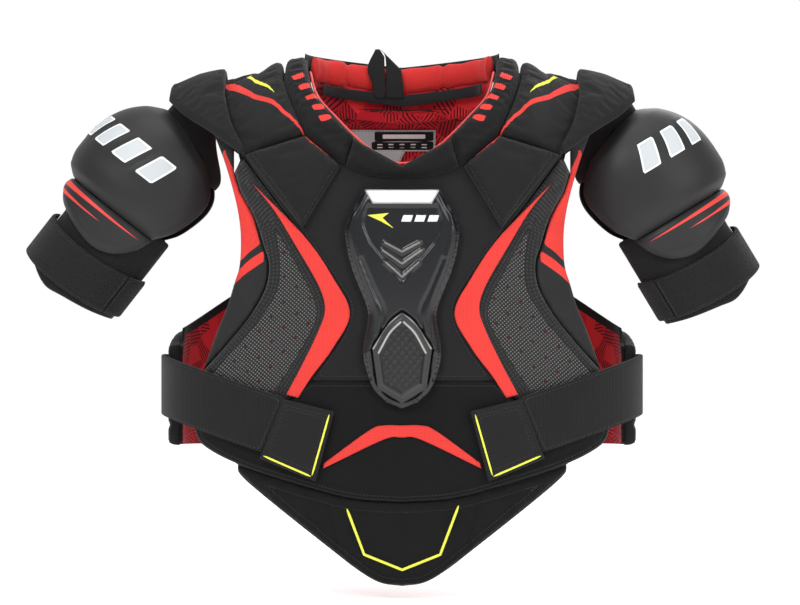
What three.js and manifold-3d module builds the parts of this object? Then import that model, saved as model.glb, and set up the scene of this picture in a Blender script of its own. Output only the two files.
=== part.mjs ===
// Hockey shoulder pads, adult size large, as an assembly of sewn and hinged pieces.
// Millimetres, +Z up. The wearer faces -Y, and the wearer's left is +X.
// The origin is on the shoulder line, in the middle of the neck.
import * as THREE from 'three';
import { mergeVertices } from 'three/addons/utils/BufferGeometryUtils.js';
import Module from 'manifold-3d';

const wasm = await Module();
wasm.setup();

// The torso form that every layer follows
const HALF_WIDTH = 208;
const FRONT_DEPTH = 112;
const BACK_DEPTH = 105;
const ROUNDNESS = 2.3;
const SHOULDER_TOP = 24;
const SHOULDER_SLOPE = 22 / (170 * 170);
const CLOSE_HEIGHT = 130;
const CLOSE_POWER = 1.5;
const BELLY_TAPER = 0.1;
const TAPER_START = 130;
const TAPER_END = 450;

// Stations that all the layers share, so that their facets stay parallel
const X_STEP = 24;
const TURN_ROWS = 5;
const ROW_DROP = 70;
const ANGLE_STEP = 8;
const SMOOTHING = 1;

// Gaps between neighbouring pieces
const GAP = 0.6;
const SEAM_HALF = 0.3;

// Layers, as distances out from the form
const LINER = [2, 5];
const FOAM = [5.4, 16];
const APPLIQUE = [16.4, 18.4];
const COLLAR = [16.4, 29];
const ARCH = [16.4, 27];
const ARCH_EDGE = 21;
const CAP = [25, 32];
const CAP_SPREAD_X = 150;
const CAP_SPREAD = 0.45;
const PLATE = [16.4, 26];
const PLATE_TOP = 26.4;
const BACK_FOAM = [5.4, 15];
const BACK_LINER = [2, 5];
const LABEL = [0.6, 1.6];
const STRAP = [19.4, 22.6];
const HOOK_PAD = [16.4, 19];
const SPINE = [15.4, 24];
const SPINE_FLAT_Y = 127;

// Waist strap
const STRAP_WIDTH = 57;
const STRAP_FRONT_Z = -306;
const STRAP_SIDE_Z = -268;
const STRAP_END_ANGLE = 114;
const STRAP_ANCHOR_ANGLE = 102;
const STRAP_STEPS = 16;
const ANCHOR_HALF = 25;
const ANCHOR_DEGREES = 10;
const TAB_TOP_X = 111;
const TAB_BOTTOM_X = 132;

// Neck
const NECK_HALF = 80;
const NECK_BACK = 58;
const NECK_ROLL_Z = 26;
const NECK_ROLL_RISE = 9;
const NECK_ROLL_SIZE = [14, 24];
const NECK_BAND_DROP = 17.5;
const NECK_BAND_SIZE = [4, 9];
const LOOP_FOOT = [-15, 45, 3];
const LOOP_HALF_SPAN = 10;
const LOOP_RISE = 38;
const LOOP_HALF_WIDTH = 5;
const LOOP_THICK = 2;
const LOOP_STEPS = 12;
const NECK_SPAN = [0.09, 0.91];
const NECK_STEPS = 14;
const ROLL_SIDES = 8;
const NECK_BAND_REACH = -4;
const BACK_COLLAR_REACH = 9.6;
const BACK_COLLAR_SIZE = [4.4, 25];

// Arm guards, in each arm's own frame: u goes out from the arm, v goes down along it
const ARM = {
  left: { side: 1, pivot: [185, 0, -9], tilt: 31 },
  right: { side: -1, pivot: [-186, 0, -14], tilt: 38 },
};
const GUARD_CENTRE = 4;
const GUARD_HALF = [78, 62];
const GUARD_WIDEST = 98;
const GUARD_DOME = 88;
const GUARD_THICK = 6;
const GUARD_LINER = [6.5, 13];
const GUARD_SEAM = 123.5;
const WRAP_HALF = [52, 41];
const WRAP_THICK = 5;
const SLEEVE_BAND = [2, 5];
const BAND_HIGH = [152, 194];
const BAND_FALL = [27, 22];
const BAND_FALL_TURNS = [10, 95];
const BAND_TURNS = [-135, 15];
const BAND_TAB_TURNS = [-165, -136];
const SLING_RADIUS = [26, 29];
const SLING_LEANS = [30, 45, 60, 75, 90];

const material = (color, roughness, metalness = 0) =>
  new THREE.MeshStandardMaterial({ color, roughness, metalness });
const BLACK = () => material(0x141416, 0.85);
const BLACK_GLOSS = () => material(0x0d0e12, 0.3);
const CHARCOAL = () => material(0x3a3b3d, 0.8);
const RED = () => material(0xd92b2b, 0.6);
const RED_LINING = () => material(0xb0121e, 0.8);
const SILVER = () => material(0xc9ccd0, 0.3, 0.6);

const assembly = new THREE.Group();

function place(name, geometry, look, group = assembly) {
  const mesh = new THREE.Mesh(geometry, look);
  mesh.name = name;
  group.add(mesh);
  return mesh;
}

// ---- closed solids ----

// Two triangles of a quad. The outer and the inner side of a layer split theirs along the same
// diagonal, so that stacked layers stay clear of each other.
const splitQuad = (a, b, c, d, outerSide) => (outerSide ? [a, b, c, a, c, d] : [a, b, d, b, c, d]);

// A closed body through a row of rings. Point i of a ring faces point 2n-1-i, and the ends are
// closed between such pairs.
function ringSolid(rings) {
  const count = rings[0].length;
  const positions = rings.flat().flatMap((p) => [p.x, p.y, p.z]);
  const faces = [];
  for (let r = 0; r + 1 < rings.length; r++) {
    for (let i = 0; i < count; i++) {
      const a = r * count + i;
      const b = r * count + ((i + 1) % count);
      faces.push(...splitQuad(a, b, b + count, a + count, i < count / 2));
    }
  }
  const last = (rings.length - 1) * count;
  for (let i = 0; i + 1 < count / 2; i++) {
    const j = count - 1 - i;
    faces.push(i, j, j - 1, i, j - 1, i + 1);
    faces.push(last + i, last + j - 1, last + j, last + i, last + i + 1, last + j - 1);
  }
  return closedGeometry(positions, faces);
}

// Like ringSolid, but the last ring joins the first
function closedRing(rings) {
  const count = rings[0].length;
  const faces = [];
  for (let r = 0; r < rings.length; r++) {
    const next = (r + 1) % rings.length;
    for (let i = 0; i < count; i++) {
      const j = (i + 1) % count;
      faces.push(r * count + i, r * count + j, next * count + j);
      faces.push(r * count + i, next * count + j, next * count + i);
    }
  }
  return closedGeometry(rings.flat().flatMap((p) => [p.x, p.y, p.z]), faces);
}

// A geometry with its faces pointing out
function closedGeometry(positions, faces) {
  if (volume(positions, faces) < 0) {
    faces.reverse();
  }
  const geometry = new THREE.BufferGeometry();
  geometry.setAttribute('position', new THREE.Float32BufferAttribute(positions, 3));
  geometry.setIndex(faces);
  geometry.computeVertexNormals();
  return geometry;
}

function volume(positions, faces) {
  const corner = (i) => new THREE.Vector3().fromArray(positions, 3 * i);
  let sum = 0;
  for (let i = 0; i < faces.length; i += 3) {
    sum += corner(faces[i]).dot(corner(faces[i + 1]).cross(corner(faces[i + 2])));
  }
  return sum;
}

function toManifold(geometry) {
  const bare = geometry.clone();
  bare.deleteAttribute('normal');
  bare.deleteAttribute('uv');
  const merged = mergeVertices(bare, 1e-4);
  return new wasm.Manifold(new wasm.Mesh({
    numProp: 3,
    vertProperties: new Float32Array(merged.attributes.position.array),
    triVerts: new Uint32Array(merged.index.array),
  }));
}

function fromManifold(solid) {
  const mesh = solid.getMesh();
  const geometry = new THREE.BufferGeometry();
  geometry.setAttribute('position', new THREE.BufferAttribute(new Float32Array(mesh.vertProperties), 3));
  geometry.setIndex(new THREE.BufferAttribute(new Uint32Array(mesh.triVerts), 1));
  geometry.computeVertexNormals();
  return geometry;
}

const keepInside = (geometry, cutter) => fromManifold(toManifold(geometry).intersect(toManifold(cutter)));

// ---- outlines, drawn as seen from the front: x across, z up ----

// Each run is a smooth curve through its points, or a straight line between two, and runs meet
// at corners.
function followRuns(runs) {
  const points = [];
  for (const run of runs) {
    const corners = run.map(([x, z]) => new THREE.Vector2(x, z));
    const steps = Math.round(SMOOTHING * (run.length - 1));
    points.push(...(run.length > 2 ? new THREE.SplineCurve(corners).getPoints(steps) : corners));
  }
  return points.filter((p, i) => i === 0 || p.distanceTo(points[i - 1]) > 1e-3);
}

// A half outline from the top to the bottom of the middle line, with its mirror image
function bothSides(runs) {
  const half = followRuns(runs);
  const other = half.map((p) => new THREE.Vector2(-p.x, p.y)).reverse();
  return [...half, ...other].filter((p, i, all) => i === 0 || p.distanceTo(all[i - 1]) > 1e-3);
}

const oneSide = (runs, side) => followRuns(runs).map((p) => new THREE.Vector2(side * p.x, p.y));

// The outline's prism, from yFrom back to yTo
function prism(points, yFrom, yTo) {
  const closed = points.filter((p, i, all) => p.distanceTo(all[(i + 1) % all.length]) > 1e-3);
  const geometry = new THREE.ExtrudeGeometry(new THREE.Shape(closed), {
    depth: yTo - yFrom,
    bevelEnabled: false,
  });
  geometry.rotateX(Math.PI / 2);
  geometry.translate(0, yTo, 0);
  return geometry;
}

// ---- the torso form ----

const shoulderTop = (x) => SHOULDER_TOP - SHOULDER_SLOPE * x * x;

function formDepth(z, facing) {
  if (facing > 0) {
    return BACK_DEPTH;
  }
  return FRONT_DEPTH * (1 - BELLY_TAPER * THREE.MathUtils.smoothstep(-z, TAPER_START, TAPER_END));
}

// A point of the form, offset outward. Row 0 is the shoulder line and the rows go down from it.
// Facing is -1 on the front and 1 on the back.
function formPoint(x, row, offset, facing) {
  const across = Math.abs(x) / (HALF_WIDTH + offset);
  const curve = Math.pow(Math.max(0, 1 - Math.pow(across, ROUNDNESS)), 1 / ROUNDNESS);
  const turn = Math.min(row / TURN_ROWS, 1) * Math.PI / 2;
  const drop = Math.max(0, row - TURN_ROWS) * ROW_DROP;
  const z = shoulderTop(x) + offset - (CLOSE_HEIGHT + offset) * (1 - Math.cos(turn)) - drop;
  const close = Math.pow(Math.sin(turn), CLOSE_POWER);
  const y = facing * ((formDepth(z, facing) + offset) * curve * close + SEAM_HALF);
  return new THREE.Vector3(x, y, z);
}

const xStations = (from, to) => {
  const first = Math.floor(from / X_STEP);
  const last = Math.ceil(to / X_STEP);
  return Array.from({ length: last - first + 1 }, (_, i) => (first + i) * X_STEP);
};

const rowRange = (from, to) => Array.from({ length: to - from + 1 }, (_, i) => from + i);

// A layer of the form between two offsets. The outer offset may change with x.
function formLayer(xFrom, xTo, rows, [inner, outer], facing) {
  const outerAt = typeof outer === 'function' ? outer : () => outer;
  const rings = xStations(xFrom, xTo).map((x) => [
    ...rows.map((row) => formPoint(x, row, outerAt(x), facing)),
    ...rows.map((row) => formPoint(x, row, inner, facing)).reverse(),
  ]);
  return ringSolid(rings);
}

// A layer that passes over the shoulder, from the front to the back. Past the arch it narrows
// more slowly than the torso does, so that its tip stays broad.
function shoulderLayer(xFrom, xTo, [inner, outer]) {
  const front = rowRange(1, TURN_ROWS).reverse();
  const back = rowRange(1, TURN_ROWS);
  const widePoint = (x, row, offset, facing) => {
    const near = Math.min(Math.abs(x), CAP_SPREAD_X);
    const depthX = near + (Math.abs(x) - near) * CAP_SPREAD;
    const point = formPoint(depthX, row, offset, facing);
    return point.set(x, point.y, point.z + shoulderTop(x) - shoulderTop(depthX));
  };
  const path = (x, offset) => [
    ...front.map((row) => widePoint(x, row, offset, -1)),
    widePoint(x, 0, offset, 0),
    ...back.map((row) => widePoint(x, row, offset, 1)),
  ];
  return ringSolid(xStations(xFrom, xTo).map((x) => [...path(x, outer), ...path(x, inner).reverse()]));
}

// A point on the form's side at an angle from straight ahead, for pieces that wrap the ribs
function sidePoint(angle, z, offset, side) {
  const turn = THREE.MathUtils.degToRad(angle);
  const x = (HALF_WIDTH + offset) * Math.pow(Math.abs(Math.sin(turn)), 2 / ROUNDNESS);
  const facing = angle > 90 ? 1 : -1;
  const depth = (formDepth(z, facing) + offset) * Math.pow(Math.abs(Math.cos(turn)), 2 / ROUNDNESS);
  return new THREE.Vector3(side * x, facing * depth, z);
}

const angleStations = (from, to) => {
  const count = Math.max(1, Math.round((to - from) / ANGLE_STEP));
  return Array.from({ length: count + 1 }, (_, i) => from + ((to - from) * i) / count);
};

const angleAtX = (x, offset) =>
  THREE.MathUtils.radToDeg(Math.asin(Math.pow(Math.abs(x) / (HALF_WIDTH + offset), ROUNDNESS / 2)));

// ---- shared edges ----

const NECKLINE = [[94, 40], [86, 11], [69, -12], [40, -43], [0, -66]];
const ARMHOLE = [[168, -45], [160, -75], [153, -103], [150, -128], [151, -155], [156, -172], [163, -194],
  [174, -220], [187, -255]];
const RIB_FRONT = [[93, -128], [62, -172], [50, -196], [58, -222], [80, -254]];
const HEM = [[195, -308], [187, -323], [153, -340], [95, -358], [47, -370], [0, -373.5]];
const BACK_NECK = [[90, 40], [84, 15], [55, 4], [0, 1]];
const BACK_ARMHOLE = [[172, 15], [160, -40], [148, -100], [143, -140], [143, -160]];
const ABOVE = 80;
const shifted = (points, dx, dz) => points.map(([x, z]) => [x + dx, z + dz]);
const reversed = (points) => [...points].reverse();

const FRONT_SPACE = [-260, -0.1];
const BACK_SPACE = [0.1, 260];
const FRONT_ROWS = rowRange(0, TURN_ROWS + 5);
const BACK_ROWS = rowRange(0, TURN_ROWS + 4);

// A front or back piece: a layer of the form inside an outline
function frontPiece(name, outline, layer, look, rows = FRONT_ROWS) {
  return formPiece(name, outline, layer, look, rows, -1, FRONT_SPACE);
}

function backPiece(name, outline, layer, look, rows = BACK_ROWS) {
  return formPiece(name, outline, layer, look, rows, 1, BACK_SPACE);
}

function formPiece(name, outline, layer, look, rows, facing, space) {
  const across = outline.map((p) => p.x);
  const sheet = formLayer(Math.min(...across) - 1, Math.max(...across) + 1, rows, layer, facing);
  return place(name, keepInside(sheet, prism(outline, ...space)), look);
}

function pairOf(name, build) {
  build(`${name}_left`, 1);
  build(`${name}_right`, -1);
}

// ---- front of the vest ----

function frontLiner() {
  const outline = bothSides([
    reversed(NECKLINE),
    [[94, 40], [94, ABOVE]],
    [[94, ABOVE], [170, ABOVE]],
    [[170, ABOVE], [170, 18]],
    [[170, 18], [158, -21], [150, -52]],
    [[158, -70], [151, -103], [148, -128], [149, -155], [154, -172], [161, -194], [172, -220], [185, -255]],
    [[193, -300], [185, -321]],
    shifted(HEM.slice(2), 0, 2),
  ]);
  frontPiece('chest_liner', outline, LINER, RED_LINING());
}

function chestPanels() {
  const upper = bothSides([
    reversed(NECKLINE),
    [[94, 40], [94, ABOVE]],
    [[94, ABOVE], [172, ABOVE]],
    [[172, ABOVE], [172, 18]],
    [[172, 18], [160, -21], [147, -52]],
    [[147, -52], [92.4, -128]],
    shifted(RIB_FRONT, -GAP, 0),
    [[79.4, -254], [86, -262]],
    [[86, -262], [0, -262]],
  ]);
  frontPiece('chest_panel', upper, FOAM, BLACK());
  const lower = bothSides([
    [[0, -262.6], [86, -262.6]],
    [[86, -262.6], [106, -282]],
    [[106, -282], [190, -286]],
    [[190, -286], HEM[0]],
    HEM,
  ]);
  frontPiece('lower_chest_panel', lower, FOAM, BLACK());
  const chevron = bothSides([
    [[0, -303], [17, -303], [31, -308], [72, -338]],
    [[72, -338], [73, -343]],
    [[73, -343], [17, -316], [0, -314]],
  ]);
  frontPiece('chest_chevron', chevron, APPLIQUE, RED());
}

const RIB_BACK = [[184, -252], [160, -226], [139, -200], [126, -176], [123, -155], [128, -137], [137, -110],
  [150, -86]];

function ribPads() {
  pairOf('rib_pad', (name, side) => {
    const outline = oneSide([
      [[148, -54], [93, -129]],
      RIB_FRONT,
      [[80, -254], [106, -281]],
      [[106, -281], [190, -285]],
      [[190, -285], RIB_BACK[0]],
      RIB_BACK,
      [[150, -86], [156, -66]],
      [[156, -66], [148, -54]],
    ], side);
    frontPiece(name, outline, FOAM, CHARCOAL());
  });
  pairOf('armhole_edge', (name, side) => {
    const outline = oneSide([
      ARMHOLE,
      [[187, -255], [184 + GAP, -252]],
      shifted(RIB_BACK, GAP, 0),
      [[150 + GAP, -86], [157, -66]],
      [[157, -66], [168, -45]],
    ], side);
    frontPiece(name, outline, [FOAM[0], 13], RED());
  });
  pairOf('chest_crescent', (name, side) => {
    const outline = oneSide([
      [[138, -80], [90, -129], [63, -168], [48, -200], [63, -231], [83, -258], [96, -278]],
      [[96, -278], [107, -275]],
      [[107, -275], [93, -249], [77, -216], [71, -196], [77, -174], [99, -136], [118, -105], [138, -80]],
    ], side);
    frontPiece(name, outline, APPLIQUE, RED());
  });
}

function shoulderPads() {
  pairOf('clavicle_pad', (name, side) => {
    const outline = oneSide([
      [[146, -49], [90, -32]],
      [[90, -32], [62, -56.5]],
      [[62, -56.5], [57, -62]],
      [[57, -62], [91.6, -122]],
      [[91.6, -122], [146, -49]],
    ], side);
    frontPiece(name, outline, ARCH, BLACK());
  });
  const thinToEdge = (x) => ARCH[1] - (ARCH[1] - ARCH_EDGE) * THREE.MathUtils.smoothstep(Math.abs(x), 118, 140);
  const arch = [ARCH[0], thinToEdge];
  pairOf('front_arch', (name, side) => {
    const outline = oneSide([
      [[114, ABOVE], [174, ABOVE]],
      [[174, ABOVE], [174, 18]],
      [[174, 18], [160, -21], [146, -48]],
      [[146, -48], [90, -31]],
      [[90, -31], [105, 4], [113, 28]],
      [[113, 28], [114, ABOVE]],
    ], side);
    frontPiece(name, outline, arch, BLACK());
  });
  pairOf('back_arch', (name, side) => {
    const outline = oneSide([
      [[114, ABOVE], [174, ABOVE]],
      [[174, ABOVE], [174, 18]],
      [[174, 18], [160, -21], [146, -60], [142, -118]],
      [[142, -118], [110, -148]],
      [[110, -148], [66, -132]],
      [[66, -132], [60, -60], [80, -16], [113, 28]],
      [[113, 28], [114, ABOVE]],
    ], side);
    backPiece(name, outline, arch, BLACK());
  });
  pairOf('shoulder_cap', (name, side) => {
    const outline = oneSide([
      [[168, ABOVE], [221, ABOVE]],
      [[221, ABOVE], [222, 8]],
      [[222, 8], [206, -8], [180, -26], [150, -49]],
      [[150, -49], [146, -46]],
      [[146, -46], [160, -18], [168, 12]],
      [[168, 12], [168, ABOVE]],
    ], side);
    const sheet = shoulderLayer(Math.min(side * 144, side * 224), Math.max(side * 144, side * 224), CAP);
    place(name, keepInside(sheet, prism(outline, FRONT_SPACE[0], BACK_SPACE[1])), BLACK());
  });
}

function frontCollar() {
  const split = 52;
  const middle = bothSides([
    [[0, -62], [37, -40], [44, -33]],
    [[44, -33], [split, -61]],
    [[split, -61], [43, -66], [21, -72], [0, -73]],
  ]);
  frontPiece('collar_point', middle, COLLAR, BLACK());
  pairOf('collar', (name, side) => {
    const outline = oneSide([
      [[90, ABOVE], [112, ABOVE]],
      [[112, ABOVE], [112, 28]],
      [[112, 28], [104, 4], [88, -31], [60, -56], [split + GAP, -60.4]],
      [[split + GAP, -60.4], [44.8, -33]],
      [[44.8, -33], [65, -10], [82, 12], [90, 40]],
      [[90, 40], [90, ABOVE]],
    ], side);
    frontPiece(name, outline, COLLAR, BLACK());
  });
}

function sternumPlate() {
  const plate = bothSides([
    [[0, -84], [35, -84]],
    [[35, -84], [51, -116], [52.5, -133], [46.5, -160], [33, -195], [33, -212], [36, -228], [35.6, -244],
      [27.7, -268], [15, -282]],
    [[15, -282], [0, -288]],
  ]);
  frontPiece('sternum_plate', plate, PLATE, BLACK_GLOSS());
  const insert = bothSides([
    [[0, -200], [28, -232]],
    [[28, -232], [23, -268]],
    [[23, -268], [0, -283]],
  ]);
  frontPiece('sternum_insert', insert, [PLATE_TOP, PLATE_TOP + 5], BLACK_GLOSS());
  const badge = bothSides([
    [[0, -87], [33, -87]],
    [[33, -87], [26, -99]],
    [[26, -99], [0, -99]],
  ]);
  frontPiece('sternum_badge', badge, [PLATE_TOP, PLATE_TOP + 3], SILVER());
}

// ---- belly pad, below the hem ----

function bellyPad() {
  const outline = bothSides([
    shifted(reversed(HEM.slice(2)), 0, -1.2),
    [[153, -341.2], [151, -350], [128, -370], [69, -416], [40, -438], [20, -449], [0, -452]],
  ]);
  frontPiece('belly_pad', outline, FOAM, BLACK());
  const lining = bothSides([
    shifted(reversed(HEM.slice(3)), 0, -4),
    [[95, -362], [128, -362]],
    [[128, -362], [69, -410], [40, -431], [20, -442], [0, -445]],
  ]);
  frontPiece('belly_pad_lining', lining, LINER, RED_LINING());
}

// ---- back of the vest ----

function backPanels() {
  const panel = bothSides([
    reversed(BACK_NECK),
    [[90, 40], [90, ABOVE]],
    [[90, ABOVE], [172, ABOVE]],
    [[172, ABOVE], [172, 15]],
    BACK_ARMHOLE,
    [[143, -160], [118, -190]],
    [[118, -190], [112, -330]],
    [[112, -330], [60, -342], [0, -346]],
  ]);
  backPiece('back_panel', panel, BACK_FOAM, BLACK());
  const liner = bothSides([
    shifted(reversed(BACK_NECK), 2, -2),
    [[92, 38], [92, ABOVE]],
    [[92, ABOVE], [170, ABOVE]],
    [[170, ABOVE], [170, 15]],
    shifted(BACK_ARMHOLE, -2, 0),
    [[141, -160], [116, -190]],
    [[116, -190], [110, -328]],
    [[110, -328], [60, -340], [0, -344]],
  ]);
  backPiece('back_liner', liner, BACK_LINER, RED_LINING());
  const label = followRuns([
    [[-52, -22], [34, -22]],
    [[34, -22], [34, -60]],
    [[34, -60], [-52, -60]],
  ]);
  backPiece('size_label', label, LABEL, material(0xd8d8d8, 0.7));
}

function spinePlate() {
  const outline = bothSides([
    [[0, -60], [30, -60]],
    [[30, -60], [44, -100], [44, -160], [34, -250]],
    [[34, -250], [22, -296]],
    [[22, -296], [0, -304]],
  ]);
  const sheet = formLayer(-46, 46, BACK_ROWS, SPINE, 1);
  place('spine_plate', keepInside(sheet, prism(outline, BACK_SPACE[0], SPINE_FLAT_Y)), BLACK_GLOSS());
}

function backWings() {
  const wing = (name, [inner, outer], inset, look) => pairOf(name, (full, side) => {
    const outline = oneSide([
      [[118.6 + inset, -190], [143.6, -160.6 - inset]],
      [[143.6, -160.6 - inset], [150, -169 - inset], [180, -190 - inset], [212, -209 - inset],
        [230, -238 - inset]],
      [[230, -238 - inset], [240, -270]],
      [[240, -270], [240, -326 + inset]],
      [[240, -326 + inset], [112.6 + inset, -330 + inset]],
      [[112.6 + inset, -330 + inset], [118.6 + inset, -190]],
    ], side);
    const levels = [-150, -240, -335];
    const rings = angleStations(84, 156).map((angle) => [
      ...levels.map((z) => sidePoint(angle, z, outer, side)),
      ...levels.map((z) => sidePoint(angle, z, inner, side)).reverse(),
    ]);
    place(full, keepInside(ringSolid(rings), prism(outline, -60, BACK_SPACE[1])), look());
  });
  wing('back_wing', BACK_FOAM, 0, BLACK);
  wing('wing_liner', BACK_LINER, 2, RED_LINING);
}

// ---- neck roll and hanging loop ----

// A point and an outward direction on the roll, from one shoulder seam round the back to the other
function neckPath(t) {
  const turn = Math.PI * t;
  const x = NECK_HALF * Math.cos(turn);
  const y = SEAM_HALF + 1 + NECK_BACK * Math.pow(Math.sin(turn), 0.8);
  const z = NECK_ROLL_Z + NECK_ROLL_RISE * Math.abs(Math.cos(turn));
  return new THREE.Vector3(x, y, z);
}

function roll(name, reach, drop, [thick, tall], look) {
  const [from, to] = NECK_SPAN;
  const rings = [];
  for (let i = 0; i <= NECK_STEPS; i++) {
    const t = from + ((to - from) * i) / NECK_STEPS;
    const centre = neckPath(t);
    const along = neckPath(t + 0.01).sub(neckPath(t - 0.01)).setZ(0).normalize();
    const out = new THREE.Vector3(along.y, -along.x, 0);
    const ring = [];
    for (let k = 0; k < ROLL_SIDES; k++) {
      const turn = ((k + 0.5) / ROLL_SIDES) * 2 * Math.PI;
      ring.push(centre.clone()
        .addScaledVector(out, reach + (thick / 2) * Math.cos(turn))
        .add(new THREE.Vector3(0, 0, (tall / 2) * Math.sin(turn) - drop)));
    }
    rings.push(ring);
  }
  place(name, ringSolid(rings), look);
}

function neckRoll() {
  roll('neck_roll', 0, 0, NECK_ROLL_SIZE, RED());
  roll('back_collar', BACK_COLLAR_REACH, 0, BACK_COLLAR_SIZE, BLACK());
  roll('neck_band', NECK_BAND_REACH, NECK_BAND_DROP, NECK_BAND_SIZE, BLACK());
}

// A folded loop of flat webbing that stands in front of the neck roll
function hangLoop() {
  const foot = new THREE.Vector3(...LOOP_FOOT);
  const rings = [];
  for (let i = 0; i <= LOOP_STEPS; i++) {
    const turn = Math.PI * (i / LOOP_STEPS);
    const lift = Math.pow(Math.sin(turn), 0.7);
    const middle = foot.clone().add(new THREE.Vector3(LOOP_HALF_SPAN * Math.cos(turn), 0, LOOP_RISE * lift));
    const out = new THREE.Vector3(Math.cos(turn), 0, Math.sin(turn));
    rings.push([[-1, 0], [1, 0], [1, 1], [-1, 1]].map(([across, through]) => middle.clone()
      .addScaledVector(out, across * LOOP_HALF_WIDTH)
      .add(new THREE.Vector3(0, through * LOOP_THICK, 0))));
  }
  place('hanging_loop', ringSolid(rings), BLACK());
}

// ---- waist straps ----

// Height of the strap's middle at a distance across the body
const strapMiddle = (x) =>
  THREE.MathUtils.mapLinear(Math.abs(x), TAB_TOP_X, HALF_WIDTH + STRAP[1], STRAP_FRONT_Z, STRAP_SIDE_Z);

function waistStraps() {
  pairOf('waist_strap', (name, side) => {
    const band = (offset, share) => {
      const points = [];
      for (const across of [0, 0.5, 1]) {
        const first = angleAtX(THREE.MathUtils.lerp(TAB_TOP_X, TAB_BOTTOM_X, across) + 1, offset);
        const angle = THREE.MathUtils.lerp(first, STRAP_END_ANGLE, share);
        const x = sidePoint(angle, 0, offset, 1).x;
        points.push(sidePoint(angle, strapMiddle(x) + STRAP_WIDTH * (0.5 - across), offset, side));
      }
      return points;
    };
    const rings = Array.from({ length: STRAP_STEPS + 1 }, (_, i) => [
      ...band(STRAP[1], i / STRAP_STEPS),
      ...band(STRAP[0], i / STRAP_STEPS).reverse(),
    ]);
    place(name, ringSolid(rings), BLACK());
  });
  pairOf('strap_anchor', (name, side) => {
    const levels = [STRAP_SIDE_Z + ANCHOR_HALF, STRAP_SIDE_Z - ANCHOR_HALF];
    const rings = [0, 0.5, 1].map((share) => STRAP_ANCHOR_ANGLE + share * ANCHOR_DEGREES).map((angle) => [
      ...levels.map((z) => sidePoint(angle, z, STRAP[0] - 0.5, side)),
      ...levels.map((z) => sidePoint(angle, z, BACK_FOAM[1] + 0.5, side)).reverse(),
    ]);
    place(name, ringSolid(rings), BLACK());
  });
  pairOf('strap_tab', (name, side) => {
    const outline = oneSide([
      [[62.5, -290], [TAB_TOP_X - 0.4, -278.5]],
      [[TAB_TOP_X - 0.4, -278.5], [TAB_BOTTOM_X - 0.4, -334]],
      [[TAB_BOTTOM_X - 0.4, -334], [79.5, -355]],
    ], side);
    frontPiece(name, outline, STRAP, BLACK());
  });
  pairOf('hook_pad', (name, side) => {
    const outline = oneSide([
      [[68, -293], [106, -284]],
      [[106, -284], [124, -331]],
      [[124, -331], [83, -348]],
    ], side);
    frontPiece(name, outline, HOOK_PAD, CHARCOAL());
  });
}

// ---- arm guards ----

// How far the guard has swelled at a distance down the arm, from 0 to 1
function guardSwell(v) {
  if (v < GUARD_WIDEST) {
    return Math.sqrt(1 - Math.pow((GUARD_WIDEST - v) / GUARD_DOME, 2.6));
  }
  const past = Math.min(v - GUARD_WIDEST, GUARD_SEAM - GUARD_WIDEST) / (GUARD_SEAM - GUARD_WIDEST);
  const below = Math.max(0, v - GUARD_SEAM) / 40;
  return 1 - 0.14 * past * past - 0.08 * below;
}

// A point round the arm: the turn is 0 on the outside, -90 in front and 90 behind
function armPoint(turn, v, [halfU, halfY], side) {
  const angle = THREE.MathUtils.degToRad(turn);
  return new THREE.Vector3(
    side * (GUARD_CENTRE + halfU * Math.cos(angle)),
    halfY * Math.sin(angle),
    -v,
  );
}

const guardHalf = (v, inward) => GUARD_HALF.map((half) => (half - inward) * guardSwell(v));

function armLayer(turns, levels, outerHalf, innerHalf, side) {
  return ringSolid(turns.map((turn) => [
    ...levels.map((v) => armPoint(turn, v, outerHalf(v), side)),
    ...levels.map((v) => armPoint(turn, v, innerHalf(v), side)).reverse(),
  ]));
}

const turnStations = (from, to, step = 20) => {
  const count = Math.round((to - from) / step);
  return Array.from({ length: count + 1 }, (_, i) => from + ((to - from) * i) / count);
};

const GUARD_EDGE = [[-35, 123.5], [-48, 106], [-56, 81], [-56, 64], [-49, 51.5], [-32, 37]];
const FLAP_EDGE = [[-35, 124.1], [-29, 139.5], [-17, 153], [-4.5, 160], [11, 163], [32.5, 159], [58, 150],
  [68, 143], [76, 124.1]];

const armOutline = (runs, side) => oneSide(runs.map((run) => run.map(([u, v]) => [u, -v])), side);

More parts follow.
